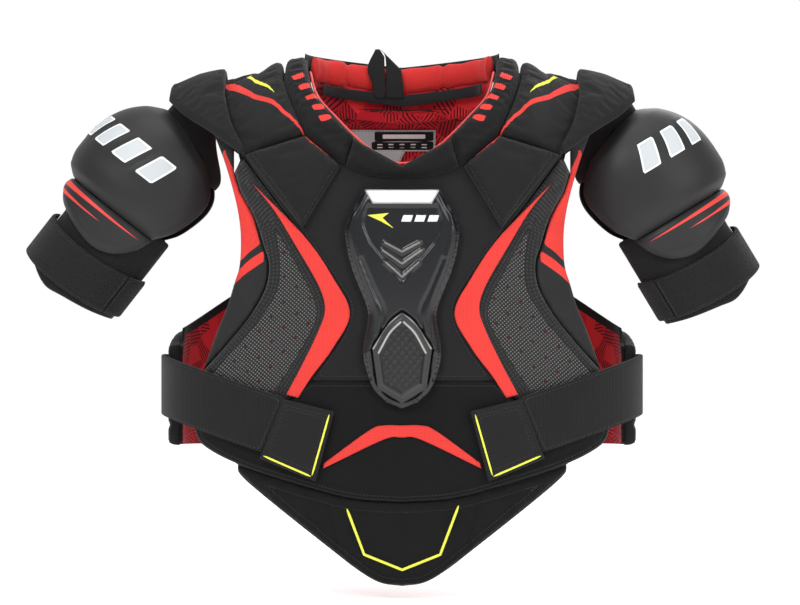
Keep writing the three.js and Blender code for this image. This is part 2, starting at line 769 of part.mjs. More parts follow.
function armGuard(label, { side, pivot, tilt }) {
  const arm = new THREE.Group();
  arm.position.set(...pivot);
  arm.rotation.y = -side * THREE.MathUtils.degToRad(tilt);
  assembly.add(arm);

  const domeLevels = [18, 24, 34, 48, 70, 98, 112, GUARD_SEAM];
  const shellOutline = armOutline([
    GUARD_EDGE,
    [[-32, 37], [11, 22], [41, 17]],
    [[41, 17], [110, 17]],
    [[110, 17], [110, GUARD_SEAM]],
    [[110, GUARD_SEAM], [-35, GUARD_SEAM]],
  ], side);
  const shell = armLayer(turnStations(-150, 150), domeLevels, (v) => guardHalf(v, 0),
    (v) => guardHalf(v, GUARD_THICK), side);
  place(`bicep_guard_${label}`, keepInside(shell, prism(shellOutline, -90, 90)), BLACK_GLOSS(), arm);

  const linerLevels = domeLevels.slice(1);
  const linerOutline = armOutline([
    [[-34, 121], [-46, 106], [-54, 81], [-54, 64], [-47, 52], [-30, 39]],
    [[-30, 39], [11, 26], [41, 20]],
    [[41, 20], [110, 20]],
    [[110, 20], [110, 121]],
    [[110, 121], [-34, 121]],
  ], side);
  const liner = armLayer(turnStations(-150, 150), linerLevels, (v) => guardHalf(v, GUARD_LINER[0]),
    (v) => guardHalf(v, GUARD_LINER[1]), side);
  place(`bicep_liner_${label}`, keepInside(liner, prism(linerOutline, -90, 90)), BLACK(), arm);

  const flapOutline = armOutline([FLAP_EDGE, [[76, 124.1], [-35, 124.1]]], side);
  const flap = armLayer(turnStations(-150, 150), [GUARD_SEAM, 145, 165], (v) => guardHalf(v, 0),
    (v) => guardHalf(v, GUARD_THICK), side);
  place(`bicep_flap_${label}`, keepInside(flap, prism(flapOutline, -90, 90)), BLACK_GLOSS(), arm);

  const wrapOutline = armOutline([
    [[-60, 118], [-60, 205]],
    [[-60, 205], [-30, 213], [4, 218], [24, 220], [44, 212], [62, 200]],
    [[62, 200], [62, 118]],
    [[62, 118], [-60, 118]],
  ], side);
  const wrap = armLayer(turnStations(-170, 150), [118, 176, 234], () => WRAP_HALF,
    () => WRAP_HALF.map((half) => half - WRAP_THICK), side);
  place(`bicep_wrap_${label}`, keepInside(wrap, prism(wrapOutline, -90, 90)), BLACK(), arm);

  const grown = (by) => WRAP_HALF.map((half) => half + by);
  const bandSolid = ([from, to], [inner, outer]) => ringSolid(turnStations(from, to, 12).map((turn) => {
    const fallen = THREE.MathUtils.smoothstep(-turn, ...BAND_FALL_TURNS);
    const [upper, lower] = BAND_HIGH.map((v, i) => v + BAND_FALL[i] * fallen);
    const levels = [upper, (upper + lower) / 2, lower];
    return [
      ...levels.map((v) => armPoint(turn, v, grown(outer), side)),
      ...levels.map((v) => armPoint(turn, v, grown(inner), side)).reverse(),
    ];
  }));
  place(`bicep_strap_${label}`, bandSolid(BAND_TURNS, SLEEVE_BAND), BLACK(), arm);
  place(`bicep_strap_tab_${label}`, bandSolid(BAND_TAB_TURNS, SLEEVE_BAND), CHARCOAL(), arm);

  const slingRings = turnStations(0, 360, 30).slice(0, -1).map((turn) => {
    const spin = THREE.MathUtils.degToRad(turn);
    const arc = (radius) => SLING_LEANS.map((degrees) => {
      const lean = THREE.MathUtils.degToRad(degrees);
      const flat = radius * Math.sin(lean);
      return new THREE.Vector3(flat * Math.cos(spin), flat * Math.sin(spin), -radius * Math.cos(lean));
    });
    return [...arc(SLING_RADIUS[1]), ...arc(SLING_RADIUS[0]).reverse()];
  });
  place(`arm_sling_${label}`, closedRing(slingRings), BLACK(), arm);
}

frontLiner();
chestPanels();
ribPads();
shoulderPads();
frontCollar();
sternumPlate();
bellyPad();
backPanels();
spinePlate();
backWings();
neckRoll();
hangLoop();
waistStraps();
armGuard('left', ARM.left);
armGuard('right', ARM.right);

export default assembly;
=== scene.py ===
"""Ice hockey shoulder pads: the look of every piece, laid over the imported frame.

Shapes are worked out in millimetres, in the frame's axes, and become metres when a mesh is made.
"""
import math
import bpy
import numpy as np
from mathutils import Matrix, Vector
from mathutils.geometry import delaunay_2d_cdt


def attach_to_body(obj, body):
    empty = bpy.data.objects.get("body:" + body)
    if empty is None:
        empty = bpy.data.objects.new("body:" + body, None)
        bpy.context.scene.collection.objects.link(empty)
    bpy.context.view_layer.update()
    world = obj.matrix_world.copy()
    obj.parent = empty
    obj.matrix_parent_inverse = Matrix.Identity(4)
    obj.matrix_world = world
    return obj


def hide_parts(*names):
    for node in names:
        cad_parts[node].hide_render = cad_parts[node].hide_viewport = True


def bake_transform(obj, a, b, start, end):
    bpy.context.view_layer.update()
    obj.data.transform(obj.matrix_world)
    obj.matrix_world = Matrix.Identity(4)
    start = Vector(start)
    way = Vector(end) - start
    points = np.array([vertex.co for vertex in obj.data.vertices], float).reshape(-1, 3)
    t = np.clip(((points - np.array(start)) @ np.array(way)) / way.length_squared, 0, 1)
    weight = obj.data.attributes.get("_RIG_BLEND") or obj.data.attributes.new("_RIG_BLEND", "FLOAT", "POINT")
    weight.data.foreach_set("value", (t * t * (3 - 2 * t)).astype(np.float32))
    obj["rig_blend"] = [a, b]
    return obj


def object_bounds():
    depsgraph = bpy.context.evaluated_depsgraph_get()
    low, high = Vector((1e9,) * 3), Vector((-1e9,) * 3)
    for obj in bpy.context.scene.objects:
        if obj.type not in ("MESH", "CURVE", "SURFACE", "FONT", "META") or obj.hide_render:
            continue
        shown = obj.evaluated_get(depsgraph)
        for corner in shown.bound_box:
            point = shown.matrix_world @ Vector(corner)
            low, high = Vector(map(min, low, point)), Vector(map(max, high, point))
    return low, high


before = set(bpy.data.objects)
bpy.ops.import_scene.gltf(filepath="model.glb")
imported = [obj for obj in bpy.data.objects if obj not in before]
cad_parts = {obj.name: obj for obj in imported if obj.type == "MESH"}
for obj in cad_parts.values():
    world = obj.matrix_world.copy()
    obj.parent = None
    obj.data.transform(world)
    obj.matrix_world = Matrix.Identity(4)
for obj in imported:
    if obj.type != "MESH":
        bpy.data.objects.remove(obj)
cad_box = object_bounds()
MM = 0.001

# The torso form that every layer follows, as in the CAD model
HALF_WIDTH, FRONT_DEPTH, BACK_DEPTH, ROUNDNESS = 208, 112, 105, 2.3
SHOULDER_TOP, SHOULDER_SLOPE = 24, 22 / 170**2
CLOSE_HEIGHT, CLOSE_POWER = 130, 1.5
BELLY_TAPER, TAPER_START, TAPER_END = 0.1, 130, 450
TURN_ROWS, ROW_DROP, TURN_ROW_LENGTH, SEAM_HALF = 5, 70, 38, 0.3
CAP_SPREAD_X, CAP_SPREAD = 150, 0.45
ABOVE = 80

# Layers, as distances out from the form
LINER, FOAM, APPLIQUE, PLATE = (2, 5), (5.4, 16), (16.4, 18.4), (16.4, 25)
COLLAR, ARCH, CAP, STRAP = (16.4, 28), (16.4, 27), (25.4, 32), (19.4, 22.6)
BACK_FOAM, SPINE = (5.4, 15), (15.4, 24)

# Arm guards
ARMS = {"left": (1, (185, 0, -9), 31), "right": (-1, (-186, 0, -14), 38)}
GUARD_CENTRE, GUARD_HALF, GUARD_WIDEST, GUARD_DOME, GUARD_SEAM = 4, (78, 62), 98, 88, 123.5
BAR_BORDER = 1.6
WRAP_HALF, ARM_DEGREE = (52, 41), 1.15

# Neck
NECK_HALF, NECK_BACK, NECK_ROLL_Z, NECK_ROLL_RISE = 84, 56, 26, 9
NECK_ENDS = (0.005, 0.995)


# ---- lines and regions in a flat chart ----

def curve(points, step=1.0):
    """A smooth line through the points, or a straight one between two."""
    points = np.array(points, float)
    ends = np.vstack([2 * points[0] - points[1], points, 2 * points[-1] - points[-2]])
    parts = []
    for before, start, end, after in zip(ends, ends[1:], ends[2:], ends[3:]):
        count = max(2, math.ceil(np.linalg.norm(end - start) / step))
        t = (np.arange(count) / count)[:, None]
        bend = (2 * before - 5 * start + 4 * end - after) * t**2
        bend = bend + (3 * start - before - 3 * end + after) * t**3
        parts.append(0.5 * (2 * start + (end - before) * t + bend))
    return np.vstack(parts + [points[-1:]])


def resample(line, step):
    gaps = np.linalg.norm(np.diff(line, axis=0), axis=1)
    keep = np.concatenate([[True], gaps > 1e-6])
    line, gaps = line[keep], gaps[gaps > 1e-6]
    if len(line) < 2:
        return line
    along = np.concatenate([[0], np.cumsum(gaps)])
    at = np.linspace(0, along[-1], max(2, round(along[-1] / step) + 1))
    return np.column_stack([np.interp(at, along, line[:, k]) for k in (0, 1)])


def joined(lines):
    points = np.vstack(lines)
    keep = np.linalg.norm(points - np.roll(points, 1, axis=0), axis=1) > 0.05
    return points[keep]


def mirrored(runs):
    """Half an outline, from the top to the bottom of the middle line, with its mirror image."""
    return runs + [[(-x, z) for x, z in reversed(run)] for run in reversed(runs)]


def shifted(points, dx=0.0, dz=0.0):
    return [(x + dx, z + dz) for x, z in points]


def line_distance(points, line, closed=False):
    """Distance from each point to a line, and how far along the line its nearest point is."""
    start = line if closed else line[:-1]
    end = np.roll(line, -1, axis=0) if closed else line[1:]
    reach = end - start
    length = np.maximum(np.linalg.norm(reach, axis=1), 1e-9)
    before = np.concatenate([[0], np.cumsum(length)[:-1]])
    nearest = np.full(len(points), np.inf)
    along = np.zeros(len(points))
    for block in np.array_split(np.arange(len(points)), max(1, len(points) // 2000)):
        offset = points[block, None, :] - start[None]
        t = np.clip((offset * reach).sum(2) / length**2, 0, 1)
        gap = np.linalg.norm(offset - t[..., None] * reach, axis=2)
        pick = gap.argmin(1)
        rows = np.arange(len(block))
        nearest[block] = gap[rows, pick]
        along[block] = before[pick] + t[rows, pick] * length[pick]
    return nearest, along


def contains(outline, points):
    x, y = points[:, 0], points[:, 1]
    inside = np.zeros(len(points), bool)
    for (ax, ay), (bx, by) in zip(outline, np.roll(outline, -1, axis=0)):
        crosses = (ay > y) != (by > y)
        if crosses.any():
            at = ax + (y - ay) * (bx - ax) / (by - ay + 1e-12)
            inside ^= crosses & (x < at)
    return inside


def depth_inside(points, outline):
    """Distance to the outline: above 0 inside it, below 0 outside."""
    gap, _ = line_distance(points, outline, closed=True)
    return np.where(contains(outline, points), gap, -gap)


# ---- charts: a flat point and an offset become a point of the object ----

def smoothstep(x, low, high):
    t = np.clip((x - low) / (high - low), 0, 1)
    return t * t * (3 - 2 * t)


def shoulder_top(x):
    return SHOULDER_TOP - SHOULDER_SLOPE * x * x


def form_depth(z, facing):
    front = FRONT_DEPTH * (1 - BELLY_TAPER * smoothstep(-z, TAPER_START, TAPER_END))
    return np.where(facing > 0, BACK_DEPTH, front)


def form_point(x, down, offset, facing):
    row = np.where(down < TURN_ROWS * TURN_ROW_LENGTH, down / TURN_ROW_LENGTH,
                   TURN_ROWS + (down - TURN_ROWS * TURN_ROW_LENGTH) / ROW_DROP)
    bulge = np.clip(1 - (np.abs(x) / (HALF_WIDTH + offset)) ** ROUNDNESS, 0, None) ** (1 / ROUNDNESS)
    turn = np.minimum(row / TURN_ROWS, 1) * math.pi / 2
    drop = np.maximum(0, row - TURN_ROWS) * ROW_DROP
    z = shoulder_top(x) + offset - (CLOSE_HEIGHT + offset) * (1 - np.cos(turn)) - drop
    close = np.sin(np.clip(turn, 0, None)) ** CLOSE_POWER
    y = facing * ((form_depth(z, facing) + offset) * bulge * close + SEAM_HALF)
    return np.column_stack([x, y, z])


def down_at(x, z, offset):
    """How far down the form from the shoulder line a height is."""
    fall = (shoulder_top(x) + offset - z) / (CLOSE_HEIGHT + offset)
    curved = np.arccos(1 - np.clip(fall, 0, 1)) * 2 / math.pi * TURN_ROWS * TURN_ROW_LENGTH
    straight = TURN_ROWS * TURN_ROW_LENGTH + (shoulder_top(x) - CLOSE_HEIGHT - z)
    return np.where(fall < 1, curved, straight)


class FormChart:
    """The front (facing -1) or the back (facing 1) of the torso: x across and the distance down."""

    def __init__(self, facing, offset):
        self.facing, self.offset = facing, offset

    def flat(self, line):
        return np.column_stack([line[:, 0], down_at(line[:, 0], line[:, 1], self.offset)])

    def place(self, flat, offset):
        return form_point(flat[:, 0], flat[:, 1], offset, self.facing)


class CapChart(FormChart):
    """Over the shoulder: the distance down is negative in front. It narrows more slowly than the torso."""

    def __init__(self, offset):
        super().__init__(0, offset)

    def place(self, flat, offset):
        x, down = flat[:, 0], flat[:, 1]
        near = np.minimum(np.abs(x), CAP_SPREAD_X)
        spread = near + (np.abs(x) - near) * CAP_SPREAD
        facing = np.where(down < 0, -1, 1)
        point = form_point(spread, np.abs(down), offset, facing)
        point[:, 0] = x
        point[:, 1] = np.where(np.abs(down) < 1e-6, 0, point[:, 1])
        point[:, 2] += shoulder_top(x) - shoulder_top(spread)
        return point


class SideChart:
    """Round the ribs: degrees from straight ahead, times the form's mean length of a degree."""

    DEGREE = 2.6

    def __init__(self, offset):
        self.offset = offset

    def angle_behind(self, x):
        share = np.clip(x / (HALF_WIDTH + self.offset), 0, 1)
        return 180 - np.degrees(np.arcsin(share ** (ROUNDNESS / 2)))

    def flat(self, line):
        return np.column_stack([self.angle_behind(line[:, 0]) * self.DEGREE, line[:, 1]])

    def place(self, flat, offset):
        angle = flat[:, 0] / self.DEGREE
        turn = np.radians(angle)
        facing = np.where(angle > 90, 1, -1)
        x = (HALF_WIDTH + offset) * np.abs(np.sin(turn)) ** (2 / ROUNDNESS)
        y = facing * (form_depth(flat[:, 1], facing) + offset) * np.abs(np.cos(turn)) ** (2 / ROUNDNESS)
        return np.column_stack([x, y, flat[:, 1]])


class ArmChart:
    """Round an arm: the turn (0 outside, -90 in front) times ARM_DEGREE, and the distance down the arm."""

    def __init__(self, label, half, sag=None):
        self.side, self.pivot, self.tilt = ARMS[label]
        self.half, self.sag = half, sag

    def half_at(self, down):
        if self.half == GUARD_HALF:
            swell = guard_swell(down)
            return GUARD_HALF[0] * swell, GUARD_HALF[1] * swell, swell
        return self.half[0], self.half[1], 1.0

    def flat(self, line):
        half_u, _, _ = self.half_at(line[:, 1])
        turn = np.degrees(np.arccos(np.clip((line[:, 0] - GUARD_CENTRE) / half_u, -1, 1)))
        return np.column_stack([turn * ARM_DEGREE, line[:, 1]])

    def place(self, flat, offset):
        turn = np.radians(flat[:, 0] / ARM_DEGREE)
        down = flat[:, 1] + (self.sag(flat[:, 0] / ARM_DEGREE) if self.sag else 0)
        half_u, half_y, swell = self.half_at(down)
        across = GUARD_CENTRE + (half_u + offset * swell) * np.cos(turn)
        ahead = (half_y + offset * swell) * np.sin(turn)
        return self.world(across, ahead, down)

    def world(self, across, ahead, down):
        tilt = math.radians(self.tilt)
        x = self.pivot[0] + self.side * (across * math.cos(tilt) + down * math.sin(tilt))
        z = self.pivot[2] + across * math.sin(tilt) - down * math.cos(tilt)
        return np.column_stack([x, ahead + 0 * x, z])


def guard_swell(down):
    dome = np.sqrt(np.clip(1 - (np.clip(GUARD_WIDEST - down, 0, None) / GUARD_DOME) ** 2.6, 0, 1))
    past = np.clip(down - GUARD_WIDEST, 0, GUARD_SEAM - GUARD_WIDEST) / (GUARD_SEAM - GUARD_WIDEST)
    return dome - 0.14 * past**2 - 0.08 * np.clip(down - GUARD_SEAM, 0, None) / 40


class PlaneChart:
    """A flat piece that faces the front, at a depth."""

    def __init__(self, depth):
        self.depth = depth

    def flat(self, line):
        return line

    def place(self, flat, offset):
        return np.column_stack([flat[:, 0], self.depth - offset + 0 * flat[:, 0], flat[:, 1]])


# ---- meshes ----

made = {}


def make_mesh(name, points, faces, fields):
    """A smooth closed mesh with its outside out, and a value of every field at each point."""
    points, faces = np.asarray(points, float), [list(f) for f in faces]
    first = np.array([f[:3] for f in faces])
    a, b, c = (points[first[:, k]] for k in range(3))
    if np.einsum("ij,ij->i", a - points.mean(0), np.cross(b - points.mean(0), c - points.mean(0))).sum() < 0:
        faces = [f[::-1] for f in faces]
    mesh = bpy.data.meshes.new(name)
    mesh.from_pydata((points * MM).tolist(), [], faces)
    mesh.update()
    mesh.polygons.foreach_set("use_smooth", [True] * len(mesh.polygons))
    for key, values in fields.items():
        attribute = mesh.attributes.new(key, "FLOAT", "POINT")
        attribute.data.foreach_set("value", np.asarray(values, np.float32))
    obj = bpy.data.objects.new(name, mesh)
    bpy.context.scene.collection.objects.link(obj)
    made[name] = obj
    return obj


def fill(outline, grid, rings):
    """Points inside an outline, with rows that follow its edge, and the triangles between them."""
    tangent = np.roll(outline, -1, axis=0) - np.roll(outline, 1, axis=0)
    normal = np.column_stack([-tangent[:, 1], tangent[:, 0]])
    normal /= np.maximum(np.linalg.norm(normal, axis=1), 1e-9)[:, None]
    if not contains(outline, outline + normal * 0.05).mean() > 0.5:
        normal = -normal
    parts = [outline]
    for ring in rings:
        inset = outline + normal * ring
        parts.append(inset[depth_inside(inset, outline) > 0.86 * ring])
    low, high = outline.min(0), outline.max(0)
    rows = np.arange(low[1], high[1], grid * 0.866)
    inner = np.vstack([
        np.column_stack([np.arange(low[0] + (i % 2) * grid / 2, high[0], grid), np.full(
            len(np.arange(low[0] + (i % 2) * grid / 2, high[0], grid)), row)])
        for i, row in enumerate(rows)])
    parts.append(inner[depth_inside(inner, outline) > rings[-1] + 0.55 * grid])
    points = np.vstack(parts)
    count = len(outline)
    edges = [(i, (i + 1) % count) for i in range(count)]
    verts, _, faces, *_ = delaunay_2d_cdt([Vector(p) for p in points], edges, [], 1, 1e-3)
    return np.array([tuple(v) for v in verts]), [list(f) for f in faces]


def patch(name, chart, runs, layer, *, grid=3.2, edge=4.0, lip=0.3, crown=0.0, crown_reach=18.0,
          relief=None, fields=None, closed_line=None):
    """A pad or sheet: an outline laid on a chart, between two offsets, with a rounded edge.

    lip is the share of the thickness that the edge keeps, crown is how far the middle stands proud,
    relief gives millimetres to add at each flat point, and fields gives values for the material.
    """
    lines = [resample(chart.flat(curve(run)), grid) for run in runs] if closed_line is None else closed_line
    outline = joined(lines)
    rings = [r for r in (0.5, 1.3, 2.5, 4.2) if r < max(edge, 1.4)]
    flat, faces = fill(outline, grid, rings)
    rim, along = line_distance(flat, outline, closed=True)
    inner, outer = layer[0], layer[1]
    thick = (outer(flat) if callable(outer) else outer) - inner
    roundness = np.sqrt(1 - (1 - np.clip(rim / edge, 0, 1)) ** 2)
    height = thick * (lip + (1 - lip) * roundness) + crown * (1 - np.exp(-(rim / crown_reach) ** 2))
    if relief:
        height = height + relief(flat, rim)
    top = chart.place(flat, inner + np.maximum(height, 0.3))
    bottom = chart.place(flat, inner + 0 * rim)
    count = len(flat)
    used = {}
    for f in faces:
        for a, b in zip(f, f[1:] + f[:1]):
            used[(a, b)] = True
    sides = [[b, a, a + count, b + count] for a, b in used if (b, a) not in used]
    all_faces = faces + [[i + count for i in reversed(f)] for f in faces] + sides
    values = {"rim": rim, "along": along, "cx": flat[:, 0], "cy": flat[:, 1], "outer": np.ones(count)}
    values.update(fields(flat) if fields else {})
    doubled = {key: np.concatenate([v, v if key != "outer" else 0 * v]) for key, v in values.items()}
    return make_mesh(name, np.vstack([top, bottom]), all_faces, doubled)


def sweep(name, centres, sections, fields=None):
    """A tube through centres: sections[i] is the ring of offsets round centre i."""
    rings = np.array([c + np.array(s) for c, s in zip(centres, sections)])
    count, around = rings.shape[:2]
    faces = []
    for i in range(count - 1):
        j = i + 1
        for k in range(around):
            m = (k + 1) % around
            faces.append([i * around + k, i * around + m, j * around + m, j * around + k])
    faces.append(list(range(around))[::-1])
    faces.append([(count - 1) * around + k for k in range(around)])
    steps = np.linalg.norm(np.diff(np.array(centres), axis=0), axis=1)
    along = np.concatenate([[0], np.cumsum(steps)])
    values = {"cx": np.repeat(along, around), "cy": np.tile(np.arange(around) * 3.0, count),
              "outer": np.ones(count * around), "rim": np.full(count * around, 50.0),
              "along": np.repeat(along, around)}
    values.update(fields or {})
    return make_mesh(name, rings.reshape(-1, 3), faces, values)


def tube(name, line, radius):
    """A round cord along a line of 3-D points, such as piping."""
    line = np.asarray(line, float)
    along = np.gradient(line, axis=0)
    along /= np.maximum(np.linalg.norm(along, axis=1), 1e-9)[:, None]
    first = np.cross(along, [0, 0, 1]) + np.array([1e-4, 0, 0])
    first /= np.linalg.norm(first, axis=1)[:, None]
    second = np.cross(along, first)
    turns = np.linspace(0, 2 * math.pi, 8, endpoint=False)
    taper = np.minimum(1, np.minimum(np.arange(len(line)), np.arange(len(line))[::-1]) / 2 + 0.3)
    sections = [[radius * w * (math.cos(t) * f + math.sin(t) * s) for t in turns]
                for f, s, w in zip(first, second, taper)]
    return sweep(name, line, sections)


def mirror(source, name):
    """The same piece on the wearer's right."""
    obj = source.copy()
    obj.data = source.data.copy()
    obj.name = obj.data.name = name
    bpy.context.scene.collection.objects.link(obj)
    count = len(obj.data.vertices)
    points = np.empty(count * 3, np.float32)
    obj.data.vertices.foreach_get("co", points)
    points[0::3] *= -1
    obj.data.vertices.foreach_set("co", points)
    obj.data.flip_normals()
    obj.data.update()
    made[name] = obj
    return obj


# ---- materials ----

class Look:
    """A Principled material, with short calls for the nodes that feed it."""

    def __init__(self, name, **values):
        self.material = bpy.data.materials.new(name)
        self.material.use_nodes = True
        self.tree = self.material.node_tree
        self.shader = self.tree.nodes["Principled BSDF"]
        self.fields = set()
        self.set(**values)

    def set(self, **values):
        for key, value in values.items():
            self.feed(self.shader.inputs[key.replace("_", " ")], value)

    def feed(self, socket, value):
        if isinstance(value, bpy.types.NodeSocket):
            self.tree.links.new(value, socket)
        elif socket.type == "RGBA" and len(value) == 3:
            socket.default_value = (*value, 1)
        else:
            socket.default_value = value

    def node(self, kind, feeds=(), **settings):
        node = self.tree.nodes.new("ShaderNode" + kind)
        for key, value in settings.items():
            setattr(node, key, value)
        for socket, value in feeds:
            self.feed(node.inputs[socket], value)
        return node

    def math(self, operation, a, b=0.0, c=0.0):
        return self.node("Math", [(0, a), (1, b), (2, c)], operation=operation).outputs[0]

    def value(self, name):
        self.fields.add(name)
        return self.node("Attribute", attribute_name=name).outputs["Fac"]

    def step(self, value, edge, soft=0.12):
        """1 where value is above edge."""
        return self.node("MapRange", [("Value", value), ("From Min", edge - soft), ("From Max", edge + soft)],
                         interpolation_type="SMOOTHSTEP").outputs[0]

    def band(self, value, low, high, soft=0.12):
        above = self.step(value, low, soft)
        below = self.math("SUBTRACT", 1.0, self.step(value, high, soft))
        return self.math("MULTIPLY", above, below)

    def blend(self, share, a, b):
        node = self.node("Mix", data_type="RGBA")
        for socket, value in zip((node.inputs["Factor"], node.inputs[6], node.inputs[7]), (share, a, b)):
            self.feed(socket, value)
        return node.outputs[2]

    def wave(self, value, pitch, phase=0.0):
        """A sine of a length in millimetres, from 0 to 1."""
        turned = self.math("MULTIPLY_ADD", value, 2 * math.pi / pitch, phase)
        return self.math("MULTIPLY_ADD", self.math("SINE", turned), 0.5, 0.5)

    def noise(self, scale, detail=2.0):
        """Noise of about that many lumps a metre."""
        where = self.node("TexCoord").outputs["Object"]
        return self.node("TexNoise", [("Vector", where), ("Scale", scale), ("Detail", detail)]).outputs[0]

    def bump(self, height, millimetres):
        made_bump = self.node("Bump", [("Height", height), ("Distance", millimetres * MM), ("Strength", 1.0)])
        self.set(Normal=made_bump.outputs[0])

    def stitches(self, line, at, pitch=3.4, share=0.6, half=0.42):
        """Sewn thread that runs where line is at that distance."""
        near = self.band(line, at - half, at + half, 0.16)
        dash = self.math("FRACT", self.math("DIVIDE", self.value("along"), pitch))
        return self.math("MULTIPLY", near, self.math("LESS_THAN", dash, share))


BLACK = (0.0125, 0.0125, 0.0135)
DARK = (0.0072, 0.0072, 0.0078)
CHARCOAL = (0.022, 0.022, 0.023)
PANEL = (0.0145, 0.0145, 0.0155)
RED = (0.70, 0.048, 0.040)
LIME = (0.80, 0.83, 0.07)
LINING_RED = (0.36, 0.006, 0.016)
INK = (0.012, 0.003, 0.005)
THREAD = (0.036, 0.036, 0.038)
SHELL_GRAIN = 0.02
LINING_CELL = 19


def knit_height(look, pitch=1.5):
    """Rows of small loops."""
    turned = look.math("MULTIPLY", look.value("cx"), math.pi / pitch)
    across = look.math("ABSOLUTE", look.math("SINE", turned))
    down = look.wave(look.value("cy"), pitch * 1.1)
    return look.math("MULTIPLY", across, look.math("MULTIPLY_ADD", down, 0.6, 0.4))


def fabric(name, color, *, weave="knit", pitch=1.5, rough=0.86, sheen=0.07, fuzz=0.35, depth=0.22, marks=(),
           stitch_at=(2.6,), worn=0.35):
    """Cloth: a weave, a fuzz of fibres, uneven dye, stitches near the edge, and printed marks.

    marks are (field, edge, colour): the colour shows where the field is above that value.
    """
    look = Look(name, Roughness=rough, Sheen_Weight=sheen, Sheen_Roughness=0.45)
    look.set(Specular_IOR_Level=0.16)
    patches = look.noise(38.0, 4.0)
    tone = look.math("MULTIPLY_ADD", patches, worn, 1 - worn / 2)
    fibres = look.noise(1900.0, 2.0)
    if weave == "rib":
        height = look.wave(look.value("cx"), pitch)
    elif weave == "twill":
        height = look.wave(look.math("ADD", look.value("cx"), look.value("cy")), pitch)
    else:
        height = knit_height(look, pitch)
    height = look.math("MULTIPLY_ADD", fibres, fuzz, look.math("MULTIPLY", height, 1 - fuzz))
    tone = look.math("MULTIPLY", tone, look.math("MULTIPLY_ADD", height, 0.7, 0.62))
    paint = look.node("RGB").outputs[0]
    paint.default_value = (*color, 1)
    for field, at, mark in marks:
        paint = look.blend(look.step(look.value(field), at), paint, (*mark, 1))
    rim = look.value("rim")
    shaded = look.node("VectorMath", [(0, paint), ("Scale", tone)], operation="SCALE").outputs[0]
    for at in stitch_at:
        thread = look.stitches(rim, at)
        shaded = look.blend(look.math("MULTIPLY", thread, 0.55), shaded, (*THREAD, 1))
        groove = look.band(rim, at - 1.0, at + 1.0, 0.6)
        sunk = look.math("MULTIPLY", groove, -1.5)
        height = look.math("ADD", height, look.math("MULTIPLY_ADD", thread, 1.6, sunk))
    look.set(Base_Color=shaded)
    look.bump(height, depth)
    return look


def lining(name):
    """Red lining, printed with fields of black hatching that meet in straight edges."""
    look = fabric(name, LINING_RED, pitch=1.2, stitch_at=(), sheen=0.1, depth=0.12)
    flat = look.node("CombineXYZ", [(0, look.value("cx")), (1, look.value("cy"))]).outputs[0]
    cells = look.node("TexVoronoi", [("Vector", flat), ("Scale", 1 / LINING_CELL), ("Randomness", 1.0)],
                      voronoi_dimensions="2D")
    parts = look.node("SeparateColor", [(0, cells.outputs["Color"])])
    angle = look.math("MULTIPLY", parts.outputs[0], 2 * math.pi)
    across = look.math("MULTIPLY", look.value("cx"), look.math("COSINE", angle))
    line = look.math("MULTIPLY_ADD", look.value("cy"), look.math("SINE", angle), across)
    stripe = look.math("GREATER_THAN", look.wave(line, 3.3), 0.62)
    border = look.node("TexVoronoi", [("Vector", flat), ("Scale", 1 / LINING_CELL), ("Randomness", 1.0)],
                       voronoi_dimensions="2D", feature="DISTANCE_TO_EDGE").outputs["Distance"]
    clear = look.math("GREATER_THAN", border, 0.035)
    dense = look.math("GREATER_THAN", parts.outputs[1], 0.22)
    printed = look.math("MULTIPLY", look.math("MULTIPLY", stripe, clear), dense)
    bright = look.node("Mix", [("Factor", parts.outputs[2])], data_type="RGBA")
    look.feed(bright.inputs[6], (*LINING_RED, 1))
    look.feed(bright.inputs[7], (0.56, 0.020, 0.024, 1))
    color = look.blend(look.math("MULTIPLY", printed, 0.9), bright.outputs[2], (*INK, 1))
    seam = look.math("MULTIPLY", look.step(look.value("seam"), 0.0, 0.8), 0.85)
    color = look.blend(seam, color, (*DARK, 1))
    color = look.blend(look.step(look.value("binding"), 0.0), color, (*DARK, 1))
    look.set(Base_Color=look.blend(look.value("outer"), color, (*DARK, 1)))
    return look


def shell(name, color, rough, coat, marks=()):
    """Moulded plastic or foam skin with a faint grain and a painted highlight along its edges."""
    look = Look(name, Roughness=rough, Coat_Weight=coat, Coat_Roughness=0.25, Specular_IOR_Level=0.34)
    grain_noise = look.noise(1500.0, 3.0)
    smudge = look.noise(14.0, 5.0)
    paint = look.node("RGB").outputs[0]
    paint.default_value = (*color, 1)
    for field, at, mark in marks:
        paint = look.blend(look.step(look.value(field), at), paint, (*mark, 1))
    # Painted highlight: the colour turns a lighter grey within about 1.2 mm of the edge, where the rounded
    # rim catches the light.
    near = look.math("SUBTRACT", 1.0, look.step(look.value("rim"), 1.2, 1.4))
    paint = look.blend(look.math("MULTIPLY", near, 0.25), paint, (0.07, 0.07, 0.072, 1))
    look.set(Base_Color=paint, Roughness=look.math("MULTIPLY_ADD", smudge, 0.22, rough - 0.11))
    look.bump(grain_noise, SHELL_GRAIN)
    return look


